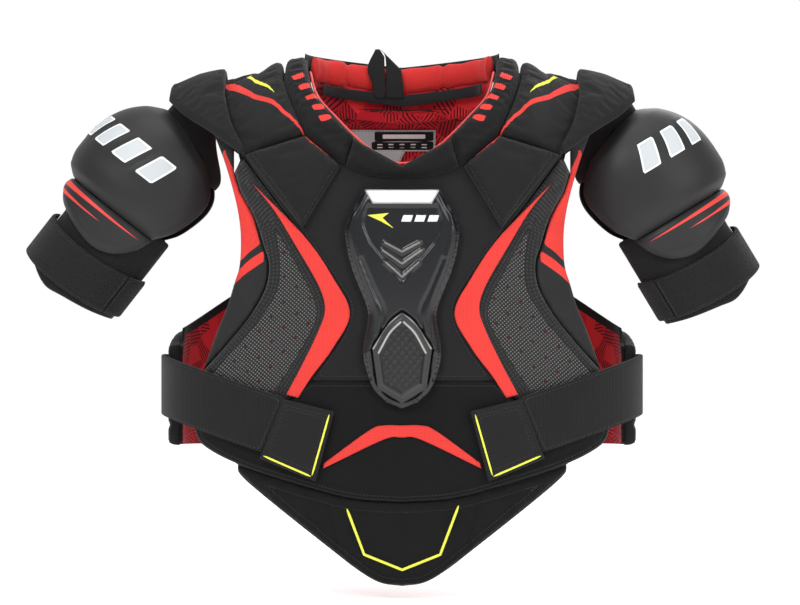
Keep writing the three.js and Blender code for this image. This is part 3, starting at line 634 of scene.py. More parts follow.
def mesh_cloth(name):
    """Grey spacer mesh with pale knots and punched holes, inside a crocheted black tape."""
    look = Look(name, Roughness=0.8, Sheen_Weight=0.15, Specular_IOR_Level=0.3)
    across, down = look.value("cx"), look.value("cy")
    slant = look.math("ADD", across, down)
    other = look.math("SUBTRACT", across, down)
    knots = look.math("MULTIPLY", look.wave(slant, 3.6), look.wave(other, 3.6))
    pale = look.step(knots, 0.46, 0.16)
    mesh_color = look.blend(pale, (0.010, 0.010, 0.010, 1), (0.15, 0.15, 0.145, 1))
    holes = look.math("MULTIPLY", look.wave(slant, 23.0), look.wave(other, 23.0))
    punched = look.step(holes, 0.90, 0.02)
    mesh_color = look.blend(punched, mesh_color, (0.035, 0.003, 0.004, 1))
    region = look.step(look.value("mesh"), 0.0)
    lumps = look.noise(620.0, 2.0)
    rows = look.math("MULTIPLY", look.wave(look.value("mesh"), 3.4), look.wave(look.value("along"), 3.2))
    tape_height = look.math("MULTIPLY_ADD", lumps, 0.5, look.math("MULTIPLY", rows, 0.7))
    tape_color = look.blend(look.step(tape_height, 0.52, 0.3), (0.0055, 0.0055, 0.006, 1),
                            (0.026, 0.026, 0.027, 1))
    look.set(Base_Color=look.blend(region, tape_color, mesh_color))
    inside = look.math("MULTIPLY_ADD", pale, 0.7, look.math("MULTIPLY", punched, -2.0))
    height = look.node("Mix", [("Factor", region), (2, tape_height), (3, inside)]).outputs[0]
    look.bump(height, 0.5)
    return look


def paint_only(name, color, rough=0.45, metal=0.0):
    look = Look(name, Roughness=rough, Metallic=metal, Base_Color=color)
    look.bump(look.noise(900.0, 2.0), 0.05)
    return look


# ---- shared outlines, as seen from the front (x, z) ----

NECKLINE = [(94, 40), (86, 11), (69, -12), (40, -43), (0, -66)]
ARMHOLE = [(178, -25), (168, -50), (160, -75), (153, -103), (150, -128), (151, -155), (156, -172),
           (163, -194),
           (174, -220), (187, -255)]
RIB_FRONT = [(93, -128), (62, -172), (50, -196), (58, -222), (80, -254)]
RIB_BACK = [(184, -252), (160, -226), (139, -200), (126, -176), (123, -155), (128, -137),
            (137, -110), (150, -86)]
HEM = [(195, -308), (187, -323), (153, -340), (95, -358), (47, -370), (0, -373.5)]
BACK_NECK = [(90, 40), (84, 15), (55, 4), (0, 1)]
BACK_ARMHOLE = [(172, 15), (160, -40), (148, -100), (143, -140), (143, -160)]
PLATE_EDGE = [(35, -84), (51, -116), (52.5, -133), (46.5, -160), (33, -195), (33, -212), (36, -228),
              (35.6, -244), (27.7, -268), (15, -282)]
PLATE_RUNS = mirrored([[(0, -84), (35, -84)], PLATE_EDGE, [(15, -282), (0, -288)]])


def region(chart, runs):
    """A field: how deep inside these runs a flat point is."""
    outline = joined([resample(chart.flat(curve(run)), 2.0) for run in runs])
    return lambda flat: depth_inside(flat, outline)


def straight(corners):
    """The straight sides from corner to corner."""
    return [[start, end] for start, end in zip(corners, corners[1:])]


def box(left, right, top, bottom):
    """The four sides of an upright rectangle."""
    return straight([(left, top), (right, top), (right, bottom), (left, bottom), (left, top)])


def either_side(points):
    """A line and its mirror image."""
    return [[(side * x, z) for x, z in points] for side in (1, -1)]


def line_field(chart, *lines):
    """A field: the distance to the nearest of some lines."""
    tracks = [resample(chart.flat(curve(line)), 2.0) for line in lines]
    return lambda flat: np.min([line_distance(flat, track)[0] for track in tracks], axis=0)


def ridge(distance, height, width):
    return height * np.exp(-((distance / width) ** 2))


def on_form(chart, points, offset):
    """3-D points that follow a front outline at an offset, for piping and cords."""
    return chart.place(resample(chart.flat(curve(points)), 3.0), offset)


# ---- front of the vest ----

def chest():
    front = FormChart(-1, FOAM[1])
    plate_depth = region(front, PLATE_RUNS)

    def around_plate(flat, rim):
        outside = -plate_depth(flat)
        return ridge(outside - 4.5, 0.8, 1.2) - ridge(outside - 1.5, 1.4, 1.6)

    upper = mirrored([NECKLINE[::-1], [(94, 40), (94, ABOVE)], [(94, ABOVE), (172, ABOVE)],
                      [(172, ABOVE), (172, 18)], [(172, 18), (160, -21), (147, -52)],
                      [(147, -52), (92.4, -128)],
                      shifted(RIB_FRONT, -0.4), [(79.6, -254), (86, -262)], [(86, -262), (0, -262)]])
    patch("chest_panel", front, upper, FOAM, edge=3.5, lip=0.5, relief=around_plate)

    hem_line = line_field(front, shifted(HEM, 0, 9), shifted([(-x, z) for x, z in HEM], 0, 9))
    lower = mirrored([[(0, -262.5), (86, -262.5)], [(86, -262.5), (106, -282)], [(106, -282), (190, -286)],
                      [(190, -286), HEM[0]], HEM])
    patch("lower_chest_panel", front, lower, FOAM, edge=3.5, lip=0.5,
          relief=lambda flat, rim: around_plate(flat, rim) - ridge(hem_line(flat), 1.2, 1.4))

    trim = FormChart(-1, APPLIQUE[1])
    chevron = mirrored([[(0, -303), (17, -303), (31, -308), (72, -338)], [(72, -338), (73, -343)],
                        [(73, -343), (17, -316), (0, -314)]])
    patch("chest_chevron", trim, chevron, APPLIQUE, grid=2.4, edge=1.2, lip=0.4)


def chest_linings():
    front = FormChart(-1, LINER[1])
    outline = mirrored([NECKLINE[::-1], [(94, 40), (94, ABOVE)], [(94, ABOVE), (170, ABOVE)],
                        [(170, ABOVE), (170, 18)], [(170, 18), (158, -21), (150, -52)],
                        [(158, -70), (151, -103), (148, -128), (149, -155), (154, -172), (161, -194),
                         (172, -220), (185, -255)], [(193, -300), (185, -321)], shifted(HEM[2:], 0, -1.4)])
    patch("chest_liner", front, outline, LINER, grid=5, edge=1.4)
    belly = mirrored([shifted(HEM[:2:-1], 0, -2.6), [(95, -362), (128, -362)],
                      [(128, -362), (69, -410), (40, -431), (20, -442), (0, -445)]])
    patch("belly_pad_lining", front, belly, LINER, grid=5, edge=1.4)


def ribs():
    front = FormChart(-1, FOAM[1])
    mesh_runs = [[(117, -122), (98, -156), (84, -183), (80, -204), (91, -229), (112, -263)],
                 [(112, -263), (120, -273)], [(120, -273), (176, -276)], [(176, -276), (177, -258)],
                 [(177, -258), (160, -238), (139, -214), (118, -184), (113, -158), (117, -122)]]
    mesh_depth = region(front, mesh_runs)
    outline = [[(148, -54), (93, -129)], RIB_FRONT, [(80, -254), (106, -281)], [(106, -281), (190, -285)],
               [(190, -285), RIB_BACK[0]], RIB_BACK, [(150, -86), (156, -66)], [(156, -66), (148, -54)]]
    patch("rib_pad_left", front, outline, FOAM, edge=3.2, lip=0.5, crown=0.2,
          relief=lambda flat, rim: (-ridge(mesh_depth(flat), 1.3, 1.5)
                                    - 0.5 * smoothstep(mesh_depth(flat), 0, 6)),
          fields=lambda flat: {"mesh": mesh_depth(flat)})

    edge_chart = FormChart(-1, 13)
    upper_red = region(edge_chart, [[(166, -46), (162.6, -55.3), (151, -77), (139.6, -104), (131.7, -136)],
                                    [(131.7, -136), (146, -147), (162, -167)], [(162, -167), (184, -60)],
                                    [(184, -60), (166, -46)]])
    lower_red = region(edge_chart, [[(128, -142), (145, -153), (160, -171), (190, -215)],
                                    [(190, -215), (180, -204)],
                                    [(180, -204), (163, -182), (149, -166), (129, -152)],
                                    [(129, -152), (128, -142)]])
    outline = [ARMHOLE, [(187, -255), (184.6, -252)], shifted(RIB_BACK, 0.6), [(150.6, -86), (157, -66)],
               [(157, -66), (158, -25)], [(158, -25), (178, -25)]]
    patch("armhole_edge_left", edge_chart, outline, (FOAM[0], 13), grid=2.6, edge=4, lip=0.15, crown=0.8,
          fields=lambda flat: {"red": np.maximum(upper_red(flat), lower_red(flat))})

    trim = FormChart(-1, APPLIQUE[1])
    crescent = [[(138, -80), (90, -129), (63, -168), (48, -200), (63, -231), (83, -258), (96, -278)],
                [(96, -278), (107, -275)],
                [(107, -275), (93, -249), (77, -216), (71, -196), (77, -174), (99, -136),
                 (118, -105), (138, -80)]]
    patch("chest_crescent_left", trim, crescent, APPLIQUE, grid=2.4, edge=1.2, lip=0.4)


def shoulders():
    pad = FormChart(-1, ARCH[1])
    outline = [[(146, -49), (90, -32)], [(90, -32), (62, -56.5)], [(62, -56.5), (57, -62)],
               [(57, -62), (91.6, -122)], [(91.6, -122), (146, -49)]]
    sliver = region(pad, [[(91, -31), (66, -55)], [(66, -55), (90, -36)], [(90, -36), (91, -31)]])
    patch("clavicle_pad_left", pad, outline, ARCH, edge=8, lip=0.12, crown=1.5, crown_reach=22,
          relief=lambda flat, rim: -ridge(rim - 3.2, 0.7, 0.9), fields=lambda flat: {"red": sliver(flat)})

    band = region(pad, [[(162.4, 25.5), (133.3, 6.8), (113.8, -6.1), (91.2, -27.2), (88.3, -32.8)],
                        [(88.3, -32.8), (90.4, -34.4)],
                        [(90.4, -34.4), (94.4, -28.8), (113.8, -11), (139.7, 5.2), (174.5, 22.2)],
                        [(174.5, 22.2), (162.4, 25.5)]])
    flash = region(pad, [[(150.3, 30.3), (143.8, 34)], [(143.8, 34), (144.9, 30.3)],
                         [(144.9, 30.3), (130, 19.5), (113, 0.7)],
                         [(113, 0.7), (131.6, 17.4), (150.3, 30.3)]])
    thin = lambda flat: ARCH[1] - 6 * smoothstep(np.abs(flat[:, 0]), 118, 140)
    front = [[(114, ABOVE), (174, ABOVE)], [(174, ABOVE), (174, 18)], [(174, 18), (160, -21), (146, -48)],
             [(146, -48), (90, -31)], [(90, -31), (105, 4), (113, 28)], [(113, 28), (114, ABOVE)]]
    patch("front_arch_left", pad, front, (ARCH[0], thin), grid=2.0, edge=7, lip=0.15, crown=1.0,
          fields=lambda flat: {"red": band(flat), "lime": flash(flat)})
    back_pad = FormChart(1, ARCH[1])
    back = [[(114, ABOVE), (174, ABOVE)], [(174, ABOVE), (174, 18)],
            [(174, 18), (160, -21), (146, -60), (142, -118)], [(142, -118), (110, -148)],
            [(110, -148), (66, -132)], [(66, -132), (60, -60), (80, -16), (113, 28)],
            [(113, 28), (114, ABOVE)]]
    quilt = line_field(back_pad, [(66, -62), (150, -40)], [(64, -104), (144, -88)])
    patch("back_arch_left", back_pad, back, (ARCH[0], thin), edge=7, lip=0.15, crown=1.0,
          relief=lambda flat, rim: -ridge(quilt(flat), 2.6, 3.0))

    over = CapChart(CAP[1])
    half = [[(168, ABOVE), (168, 12)], [(168, 12), (160, -18), (146, -46)], [(146, -46), (150, -49)],
            [(150, -49), (180, -26), (206, -8), (222, 8)], [(222, 8), (221, ABOVE)]]
    lines = [resample(over.flat(curve(run)), 2.8) * (1, -1) for run in half]
    behind = [(line * (1, -1))[::-1] for line in reversed(lines)]
    patch("shoulder_cap_left", over, None, CAP, closed_line=lines + behind, grid=2.8, edge=5, lip=0.25,
          crown=0.8,
          relief=lambda flat, rim: -ridge(rim - 5.5, 0.8, 0.9) - ridge(np.abs(flat[:, 1]) - 1, 0.7, 1.2))


def collar_bars():
    """The corners of slanted bars in a row along the side of the collar."""
    foot, along, out = np.array((71.0, -19.0)), np.array((0.54, 0.84)), np.array((0.84, -0.54))
    corners = ((-3.4, -6), (2.2, -6), (4.6, 5), (-1.0, 5))
    return [[tuple(foot + along * (12.4 * i + a) + out * b) for a, b in corners] for i in range(5)]


def collar():
    chart = FormChart(-1, COLLAR[1])
    split = 52
    middle = mirrored([[(0, -62), (37, -40), (44, -33)], [(44, -33), (split, -61)],
                       [(split, -61), (43, -66), (21, -72), (0, -73)]])
    centre = lambda flat, rim: -ridge(np.abs(flat[:, 0]), 1.4, 1.0)
    patch("collar_point", chart, middle, COLLAR, grid=2.6, edge=6, lip=0.1, crown=0.6, relief=centre)
    side = [[(90, ABOVE), (112, ABOVE)], [(112, ABOVE), (112, 28)],
            [(112, 28), (104, 4), (88, -31), (60, -56), (split + 0.4, -60.6)],
            [(split + 0.4, -60.6), (44.6, -33)],
            [(44.6, -33), (65, -10), (82, 12), (90, 40)], [(90, 40), (90, ABOVE)]]
    bars = [region(chart, straight(bar + bar[:1])) for bar in collar_bars()]
    patch("collar_left", chart, side, COLLAR, grid=2.0, edge=6, lip=0.1, crown=0.6,
          fields=lambda flat: {"mark": np.max([bar(flat) for bar in bars], axis=0)})
    half = [(90, 40), (82, 12), (65, -10), (37, -40), (12, -57)]
    inner = half + [(0, -60)] + [(-x, z) for x, z in reversed(half)]
    line = on_form(chart, [(x * 0.975, z + 1.2) for x, z in inner], 17)
    tube("neckline_piping", line, 1.3)


def plate():
    chart = FormChart(-1, PLATE[1])
    recess = region(chart, mirrored([[(0, -100), (33, -100)], [(33, -100), (36.5, -118), (30, -136)],
                                     [(30, -136), (0, -172)]]))
    arrows = [line_field(chart, [(-w, z), (0, z - d)], [(0, z - d), (w, z)])
              for w, z, d in ((16, -135, 8.5), (18, -142, 12.5), (15, -153, 13.5))]
    flanks = line_field(chart, *either_side([(38, -150), (27, -176), (17.5, -197), (19, -218)]))
    ribs_down = line_field(chart, *either_side([(44, -104), (46, -128), (38, -156), (26, -190), (27, -214),
                                                (30, -236)]))
    arch = region(chart, mirrored([[(0, -198), (12, -208), (28, -232)], [(28, -232), (23, -270)],
                                   [(23, -270), (0, -284)]]))

    def relief(flat, rim):
        step = -3.4 * (1 - smoothstep(rim, 2.2, 4.2)) - 1.0 * (1 - smoothstep(rim, 6.5, 8.0))
        hollow = -2.2 * smoothstep(recess(flat), -0.4, 1.8)
        rise = sum(2.6 * np.clip(1 - np.abs(line(flat)) / 2.6, 0, 1) for line in arrows)
        grooves = -ridge(flanks(flat), 1.8, 1.5) + ridge(ribs_down(flat), 1.1, 1.6)
        seat = -2.4 * smoothstep(arch(flat), -1.5, 0.5)
        return step + hollow + rise + grooves + seat

    # Painted highlight: the "rib" field paints light grey along the three raised arrows, where their ridges
    # catch the light.
    patch("sternum_plate", chart, PLATE_RUNS, PLATE, grid=1.5, edge=2.0, lip=0.6, relief=relief,
          fields=lambda flat: {"rib": 0.9 - np.min([line(flat) for line in arrows], axis=0)})

    insert_chart = FormChart(-1, 30)
    outline = mirrored([[(0, -199), (12, -209), (27.5, -232)], [(27.5, -232), (22.5, -268.5)],
                        [(22.5, -268.5), (0, -282.5)]])
    panel = region(insert_chart, mirrored([[(0, -208), (9, -217), (20.5, -236)], [(20.5, -236), (17, -264)],
                                           [(17, -264), (0, -274)]]))

    # Painted highlight: the "bright" field paints light grey lines along the insert's upper rims, where light
    # from above falls.
    highlight_rims = line_field(insert_chart, *either_side([(26.5, -232), (15.5, -213), (1.5, -199.5)]),
                            *either_side([(21.5, -236), (11.5, -218), (1.5, -208)]))

    def studs(flat, rim):
        rows = 0.5 + 0.5 * np.cos(2 * math.pi * (flat[:, 0] / 7.2 + flat[:, 1] / 8.4))
        columns = 0.5 + 0.5 * np.cos(2 * math.pi * (flat[:, 0] / 7.2 - flat[:, 1] / 8.4))
        inside = smoothstep(panel(flat), 1.0, 2.2)
        knob = 1.6 * np.clip(rows * columns * 2.2 - 1.1, 0, 0.8) * inside
        return knob - 2.6 * smoothstep(panel(flat), -0.6, 0.8) - ridge(rim - 3.0, 1.2, 0.7)

    patch("sternum_insert", insert_chart, outline, (24.0, 30.6), grid=1.1, edge=1.6, lip=0.4, relief=studs,
          fields=lambda flat: {"panel": panel(flat), "bright": 0.9 - highlight_rims(flat)})
    badge_chart = FormChart(-1, 29)
    badge = mirrored([[(0, -86.5), (30, -86.5), (34, -87.5)], [(34, -87.5), (27, -99.5)],
                      [(27, -99.5), (0, -99.5)]])
    badge_depth = region(badge_chart, badge)
    patch("sternum_badge", badge_chart, badge, (25.0, 28.6), grid=1.6, edge=1.8, lip=0.35,
          fields=lambda flat: {"face": badge_depth(flat) - 1.3})
    print_chart = FormChart(-1, 23.4)
    flash = straight([(-32, -110), (-12, -108), (-18, -112.5), (-8, -122), (-20, -115.5), (-32, -110)])
    patch("plate_flash", print_chart, flash, (22.2, 23.6), grid=1.4, edge=0.6, lip=0.6)
    for i in range(3):
        left = -1 + 12 * i
        bar = straight([(left + 2, -110), (left + 11, -110), (left + 9, -116), (left, -116),
                        (left + 2, -110)])
        patch(f"plate_bar_{i}", print_chart, bar, (22.2, 23.6), grid=1.4, edge=0.6, lip=0.6)


def belly():
    chart = FormChart(-1, FOAM[1])
    outline = mirrored([shifted(HEM[:1:-1], 0, -1.2),
                        [(153, -341.2), (151, -350), (128, -370), (69, -416), (40, -438), (20, -449),
                         (0, -452)]])
    emboss = line_field(chart, *either_side([(70, -373), (58, -418)]))
    patch("belly_pad", chart, outline, FOAM, edge=7, lip=0.12, crown=0.4,
          relief=lambda flat, rim: -ridge(emboss(flat), 1.1, 1.2) - ridge(rim - 9.5, 1.5, 1.4))
    vee = [(52, -377), (35, -422), (0, -436), (-35, -422), (-52, -377)]
    line = np.vstack([on_form(chart, [start, end], FOAM[1] + 2.2)[:-1] for start, end in zip(vee, vee[1:])])
    tube("belly_piping", line, 1.25)


# ---- back of the vest ----

def back():
    chart = FormChart(1, BACK_FOAM[1])
    panel = mirrored([BACK_NECK[::-1], [(90, 40), (90, ABOVE)], [(90, ABOVE), (172, ABOVE)],
                      [(172, ABOVE), (172, 15)], BACK_ARMHOLE, [(143, -160), (118, -190)],
                      [(118, -190), (112, -330)], [(112, -330), (60, -342), (0, -346)]])
    seams = ([(56, -30), (60, -120), (52, -230), (46, -338)], [(60, -150), (116, -176)],
             [(54, -222), (114, -240)], [(50, -288), (112, -298)])
    quilt = line_field(chart, *[line for seam in seams for line in either_side(seam)])
    patch("back_panel", chart, panel, BACK_FOAM, grid=4, edge=4, lip=0.4,
          relief=lambda flat, rim: -ridge(quilt(flat), 3.0, 3.2))
    liner = mirrored([shifted(BACK_NECK[::-1], 2, -2), [(92, 38), (92, ABOVE)], [(92, ABOVE), (170, ABOVE)],
                      [(170, ABOVE), (170, 15)], shifted(BACK_ARMHOLE, -2), [(141, -160), (116, -190)],
                      [(116, -190), (110, -328)], [(110, -328), (60, -340), (0, -344)]])
    lining_chart = FormChart(1, LINER[1])
    arc = line_field(lining_chart, [(-78, -34), (-52, -8), (0, 2), (52, -8), (78, -34)])
    patch("back_liner", lining_chart, liner, LINER, grid=4, edge=1.4,
          fields=lambda flat: {"seam": 1.4 - arc(flat)})
    spine = mirrored([[(0, -60), (30, -60)], [(30, -60), (44, -100), (44, -160), (34, -250)],
                      [(34, -250), (22, -296)], [(22, -296), (0, -304)]])
    vanes = lambda flat, rim: (1.2 * smoothstep(np.sin(flat[:, 1] * 2 * math.pi / 34), -0.5, -0.1)
                               * smoothstep(rim, 7, 10) - ridge(rim - 6, 1.2, 1.2) - 1.5)
    patch("spine_plate", FormChart(1, SPINE[1]), spine, SPINE, grid=2.4, edge=3, lip=0.35, relief=vanes)

    for name, (inner, outer), inset in (("back_wing_left", BACK_FOAM, 0), ("wing_liner_left", LINER, 1.0)):
        side = SideChart(outer)
        over_x = [(143.6, -160.6 - inset), (150, -169 - inset), (180, -190 - inset), (212, -213 - inset)]
        front_edge, back_edge = 84 * side.DEGREE, side.angle_behind(112.6 + inset) * side.DEGREE
        past_side = [(90 * side.DEGREE, -228 - inset), (front_edge, -231 - inset)]
        top = np.vstack([side.flat(curve(over_x)), past_side])
        front_low, back_low = (front_edge, -326 + inset), (back_edge, -330)
        back_high = (side.angle_behind(118.6 + inset) * side.DEGREE, -190)
        corners = [top, np.array([top[-1], front_low]), np.array([front_low, back_low]),
                   np.array([back_low, back_high]), np.array([back_high, top[0]])]
        ribs_down = lambda flat, rim: 0 * rim if inset else -ridge((flat[:, 1] + 262) % 30 - 15, 1.6, 3.0)
        patch(name, side, None, (inner, outer), closed_line=[resample(line, 3.4) for line in corners],
              grid=3.6, edge=4 if not inset else 1.4, lip=0.35, relief=ribs_down,
              fields=lambda flat: {"binding": 7.5 - line_distance(flat, top)[0]})
    label_chart = FormChart(1, 1.6)
    heads = [region(label_chart, sides) for sides in (box(-27, 31, -21.5, -30.2), box(-30, 31, -31.2, -38.8))]
    rows = [region(label_chart, box(-19, 23, -24, -28))]
    rows += [region(label_chart, box(x, x + 6, z, z - 1.2)) for x in range(-25, 20, 11) for z in (-33, -36)]
    corners = [(-52, -20), (33, -20), (33, -40), (3, -40), (-6, -58), (-52, -58), (-52, -20)]
    patch("size_label", label_chart, straight(corners), (0.6, 1.6), grid=1.6, edge=0.6, lip=0.8,
          fields=lambda flat: {"head": np.max([head(flat) for head in heads], axis=0),
                               "print": np.max([row(flat) for row in rows], axis=0)})


def neck_point(t):
    turn = math.pi * t
    return np.array([NECK_HALF * math.cos(turn), SEAM_HALF + 1 + NECK_BACK * max(0, math.sin(turn)) ** 0.8,
                     NECK_ROLL_Z + NECK_ROLL_RISE * abs(math.cos(turn))])


def neck_tube(name, reach, drop, thick, tall, *, around=20, pucker=0.0, steps=96, outer=1.0):
    centres, sections = [], []
    for t in np.linspace(*NECK_ENDS, steps):
        along = neck_point(t + 0.01) - neck_point(t - 0.01)
        along[2] = 0
        along /= np.linalg.norm(along)
        out = np.array([along[1], -along[0], 0])
        fold = 1 - pucker * (math.exp(-((t - 0.34) / 0.012) ** 2) + math.exp(-((t - 0.72) / 0.012) ** 2))
        fold *= 1 + 0.4 * pucker * math.sin(31 * t) * math.sin(13 * t + 1)
        ends = min(1, 0.5 + 6 * min(t - NECK_ENDS[0], NECK_ENDS[1] - t))
        turns = np.linspace(0, 2 * math.pi, around, endpoint=False)
        sections.append([out * thick / 2 * math.cos(a) * fold * ends
                         + np.array([0, 0, tall / 2 * math.sin(a) * fold]) for a in turns])
        centres.append(neck_point(t) + out * reach - np.array([0, 0, drop]))
    return sweep(name, centres, sections, {"outer": np.full(steps * around, outer)})


def neck():
    neck_tube("neck_roll", 0, 0, 13.6, 23.4, pucker=0.22)
    neck_tube("back_collar", 8.8, -1.5, 4.2, 26)
    neck_tube("neck_band", -8, 19.5, 2.4, 11, pucker=0.1)
    neck_tube("neck_facing", 0, 25, 2.4, 34, outer=0.0)
    legs = {"hanging_loop": straight([(-27, 9), (-16.4, 9), (-17.2, 49.6), (-21.8, 57), (-26, 57)])
            + [[(-26, 57), (-33.6, 39.3), (-29.6, 23.7), (-27, 9)]],
            "hanging_loop_back": [[(-15.8, 9), (1.6, 9)], [(1.6, 9), (1, 24), (-0.8, 37)],
                                  [(-0.8, 37), (-20.8, 57)], [(-20.8, 57), (-16, 47), (-15.8, 9)]]}
    for name, runs in legs.items():
        depth = 45.2 if name == "hanging_loop" else 46.8
        patch(name, PlaneChart(depth), runs, (-1.6, 0.2), grid=2, edge=0.8, lip=0.5,
              relief=lambda flat, rim: 1.2 * np.sin((flat[:, 1] - 9) / 48 * math.pi))


# ---- waist straps ----

def straps():
    tab_top, tab_bottom = 111, 132
    first_z, side_z, width, end_angle = -306, -268, 57, 114
    angle_at = lambda x, offset: math.degrees(math.asin((x / (HALF_WIDTH + offset)) ** (ROUNDNESS / 2)))
    side = SideChart(STRAP[1])

    def band_line(across):
        first = angle_at(tab_top + (tab_bottom - tab_top) * across - 1.5, STRAP[1])
        angles = np.linspace(first, end_angle, 60)
        x = side.place(np.column_stack([angles * side.DEGREE, 0 * angles]), STRAP[1])[:, 0]
        middle = first_z + (np.abs(x) - tab_top) * (side_z - first_z) / (HALF_WIDTH + STRAP[1] - tab_top)
        return np.column_stack([angles * side.DEGREE, middle + width * (0.5 - across)])

    top, bottom = band_line(0), band_line(1)
    corners = [top, np.array([top[-1], bottom[-1]]), bottom[::-1], np.array([bottom[0], top[0]])]
    patch("waist_strap_left", side, None, STRAP, closed_line=[resample(line, 3) for line in corners],
          grid=3.2, edge=1.2, lip=0.5)
    flat_corners = [resample(np.array([(a * side.DEGREE, z), (b * side.DEGREE, y)], float), 3)
                    for (a, z), (b, y) in box(102, 112, side_z + 26, side_z - 24)]
    patch("strap_anchor_left", side, None, (15.5, 18.9), closed_line=flat_corners, edge=1.2, lip=0.5)
    front = FormChart(-1, STRAP[1])
    tab = straight([(62.5, -290), (110.6, -278.5), (131.6, -334), (79.5, -355), (62.5, -290)])
    patch("strap_tab_left", front, tab, STRAP, grid=2.2, edge=1.4, lip=0.5,
          relief=lambda flat, rim: -ridge(rim - 6.5, 0.6, 0.6))
    tube("tab_piping_left", on_form(front, [(67, -293), (83, -349)], STRAP[1] + 0.2), 0.95)
    tube("tab_piping_low_left", on_form(front, [(84, -350), (128, -331.5)], STRAP[1] + 0.2), 0.95)
    hook = straight([(68, -293), (106, -284), (124, -331), (83, -348), (68, -293)])
    patch("hook_pad_left", FormChart(-1, 19), hook, (16.4, 19), grid=4, edge=1, lip=0.5)


# ---- arms ----

def arm(label):
    guard = ArmChart(label, GUARD_HALF)
    edge = [(-35, 123.5), (-48, 106), (-56, 81), (-56, 64), (-49, 51.5), (-32, 37)]
    top = [(-32, 37), (11, 22), (34, 17.6)]

    def both(lines):
        """A half outline, from the outside of the arm round to the inner edge, with its other half."""
        flat = [resample(line, 3) for line in lines]
        return flat + [(line * (-1, 1))[::-1] for line in reversed(flat)]

    rim_line = [np.array([(0, GUARD_SEAM), guard.flat(np.array([edge[0]], float))[0]])]
    rim_line += [guard.flat(curve(edge)), guard.flat(curve(top))]
    rim_line += [np.array([rim_line[-1][-1], (0, 17.0)])]
    side = ARMS[label][0]
    bar_turns, bar_down = ((-78, -55, -32), 60) if side > 0 else ((-90, -66, -42, -18), 68)

    def bar_depth(flat):
        depths = []
        for turn in bar_turns:
            slant = flat[:, 0] - turn * ARM_DEGREE + 0.35 * side * (flat[:, 1] - bar_down)
            depths.append(np.minimum(8.5 - np.abs(slant), 13.5 - np.abs(flat[:, 1] - bar_down)))
        return np.max(depths, axis=0)

    def guard_relief(flat, rim):
        bead = -2.6 * (1 - smoothstep(rim, 2.5, 8.5))
        return bead + ridge(rim - 10.0, 0.5, 1.6) + 0.5 * smoothstep(bar_depth(flat), -3.4, -2.6)

    patch(f"bicep_guard_{label}", guard, None, (-6, 0), closed_line=both(rim_line), grid=2.6, edge=4,
          lip=0.25, relief=guard_relief,
          fields=lambda flat: {"bar": bar_depth(flat), "trim": bar_depth(flat) - BAR_BORDER})

    flap_edge = [(-35, 124.1), (-29, 139.5), (-17, 153), (-4.5, 160), (11, 163), (32.5, 159), (58, 150),
                 (68, 143)]
    lobe = guard.flat(curve(flap_edge))
    flap_line = [np.array([(0, 124.1), lobe[0]]), lobe, np.array([lobe[-1], (0, 143)])]

    def stripe_depth(flat):
        """Two red stripes below the seam, which widen towards the outside of the arm."""
        turn, down = -flat[:, 0] / ARM_DEGREE, flat[:, 1]
        out = np.clip(1 - turn / 150, 0, 1)
        first = 3.2 * out - np.abs(down - (129.5 + 2.0 * turn / 110)) - 0.25
        second = 2.6 * np.clip(1 - turn / 100, 0, 1) - np.abs(down - (138.0 + 2.0 * turn / 78)) - 0.25
        return np.maximum(first, second)

    patch(f"bicep_flap_{label}", guard, None, (-6, 0), closed_line=both(flap_line), grid=2.0, edge=4, lip=0.3,
          relief=lambda flat, rim: -2.2 * (1 - smoothstep(rim, 1.5, 7.0)) + ridge(rim - 8, 0.4, 1.5),
          fields=lambda flat: {"stripe": stripe_depth(flat)})

    liner_edge = [(-34, 121), (-46, 106), (-54, 81), (-54, 64), (-47, 52), (-30, 39)]
    liner_top = [(-30, 39), (11, 26), (36, 21)]
    liner_line = [np.array([(0, 121), guard.flat(np.array([liner_edge[0]], float))[0]])]
    liner_line += [guard.flat(curve(liner_edge)), guard.flat(curve(liner_top))]
    liner_line += [np.array([liner_line[-1][-1], (0, 20.5)])]
    patch(f"bicep_liner_{label}", guard, None, (-13, -6.5), closed_line=both(liner_line), grid=4, edge=3,
          lip=0.3)

    sleeve = ArmChart(label, WRAP_HALF)
    hem = curve([(-60, 205), (-30, 213), (4, 218), (24, 220), (44, 212), (62, 200)])
    low = lambda turn: np.interp(GUARD_CENTRE + WRAP_HALF[0] * np.cos(np.radians(turn)), hem[:, 0], hem[:, 1])
    turns = np.linspace(-170, 150, 120)
    wrap_hem = np.column_stack([turns * ARM_DEGREE, low(turns)])
    ends = [(-170 * ARM_DEGREE, 118), (150 * ARM_DEGREE, 118)]
    wrap_line = [np.array(ends), np.array([ends[1], wrap_hem[-1]]), wrap_hem[::-1],
                 np.array([wrap_hem[0], ends[0]])]

    def folds(flat, rim):
        lean = 0.8 * np.sin(flat[:, 1] / 9 + flat[:, 0] / 30)
        return (lean + 0.5 * np.sin(flat[:, 0] / 11)) * smoothstep(rim, 4, 16)

    patch(f"bicep_wrap_{label}", sleeve, None, (-5, 0), closed_line=[resample(line, 3) for line in wrap_line],
          grid=3.2, edge=2.4, lip=0.3, relief=lambda flat, rim: np.minimum(folds(flat, rim) - 0.8, 0.4))

    band = ArmChart(label, WRAP_HALF, sag=lambda turn: 10 * np.sin(np.radians(np.clip(15 - turn, 0, 180))))
    for name, start, end in ((f"bicep_strap_{label}", -135, 15), (f"bicep_strap_tab_{label}", -165, -136)):
        lines = [resample(np.array([(a * ARM_DEGREE, v), (b * ARM_DEGREE, w)], float), 3)
                 for (a, v), (b, w) in box(start, end, 160, 202)]
        patch(name, band, None, (2, 5), closed_line=lines, grid=3, edge=1.4, lip=0.5)
    sling(label, guard)


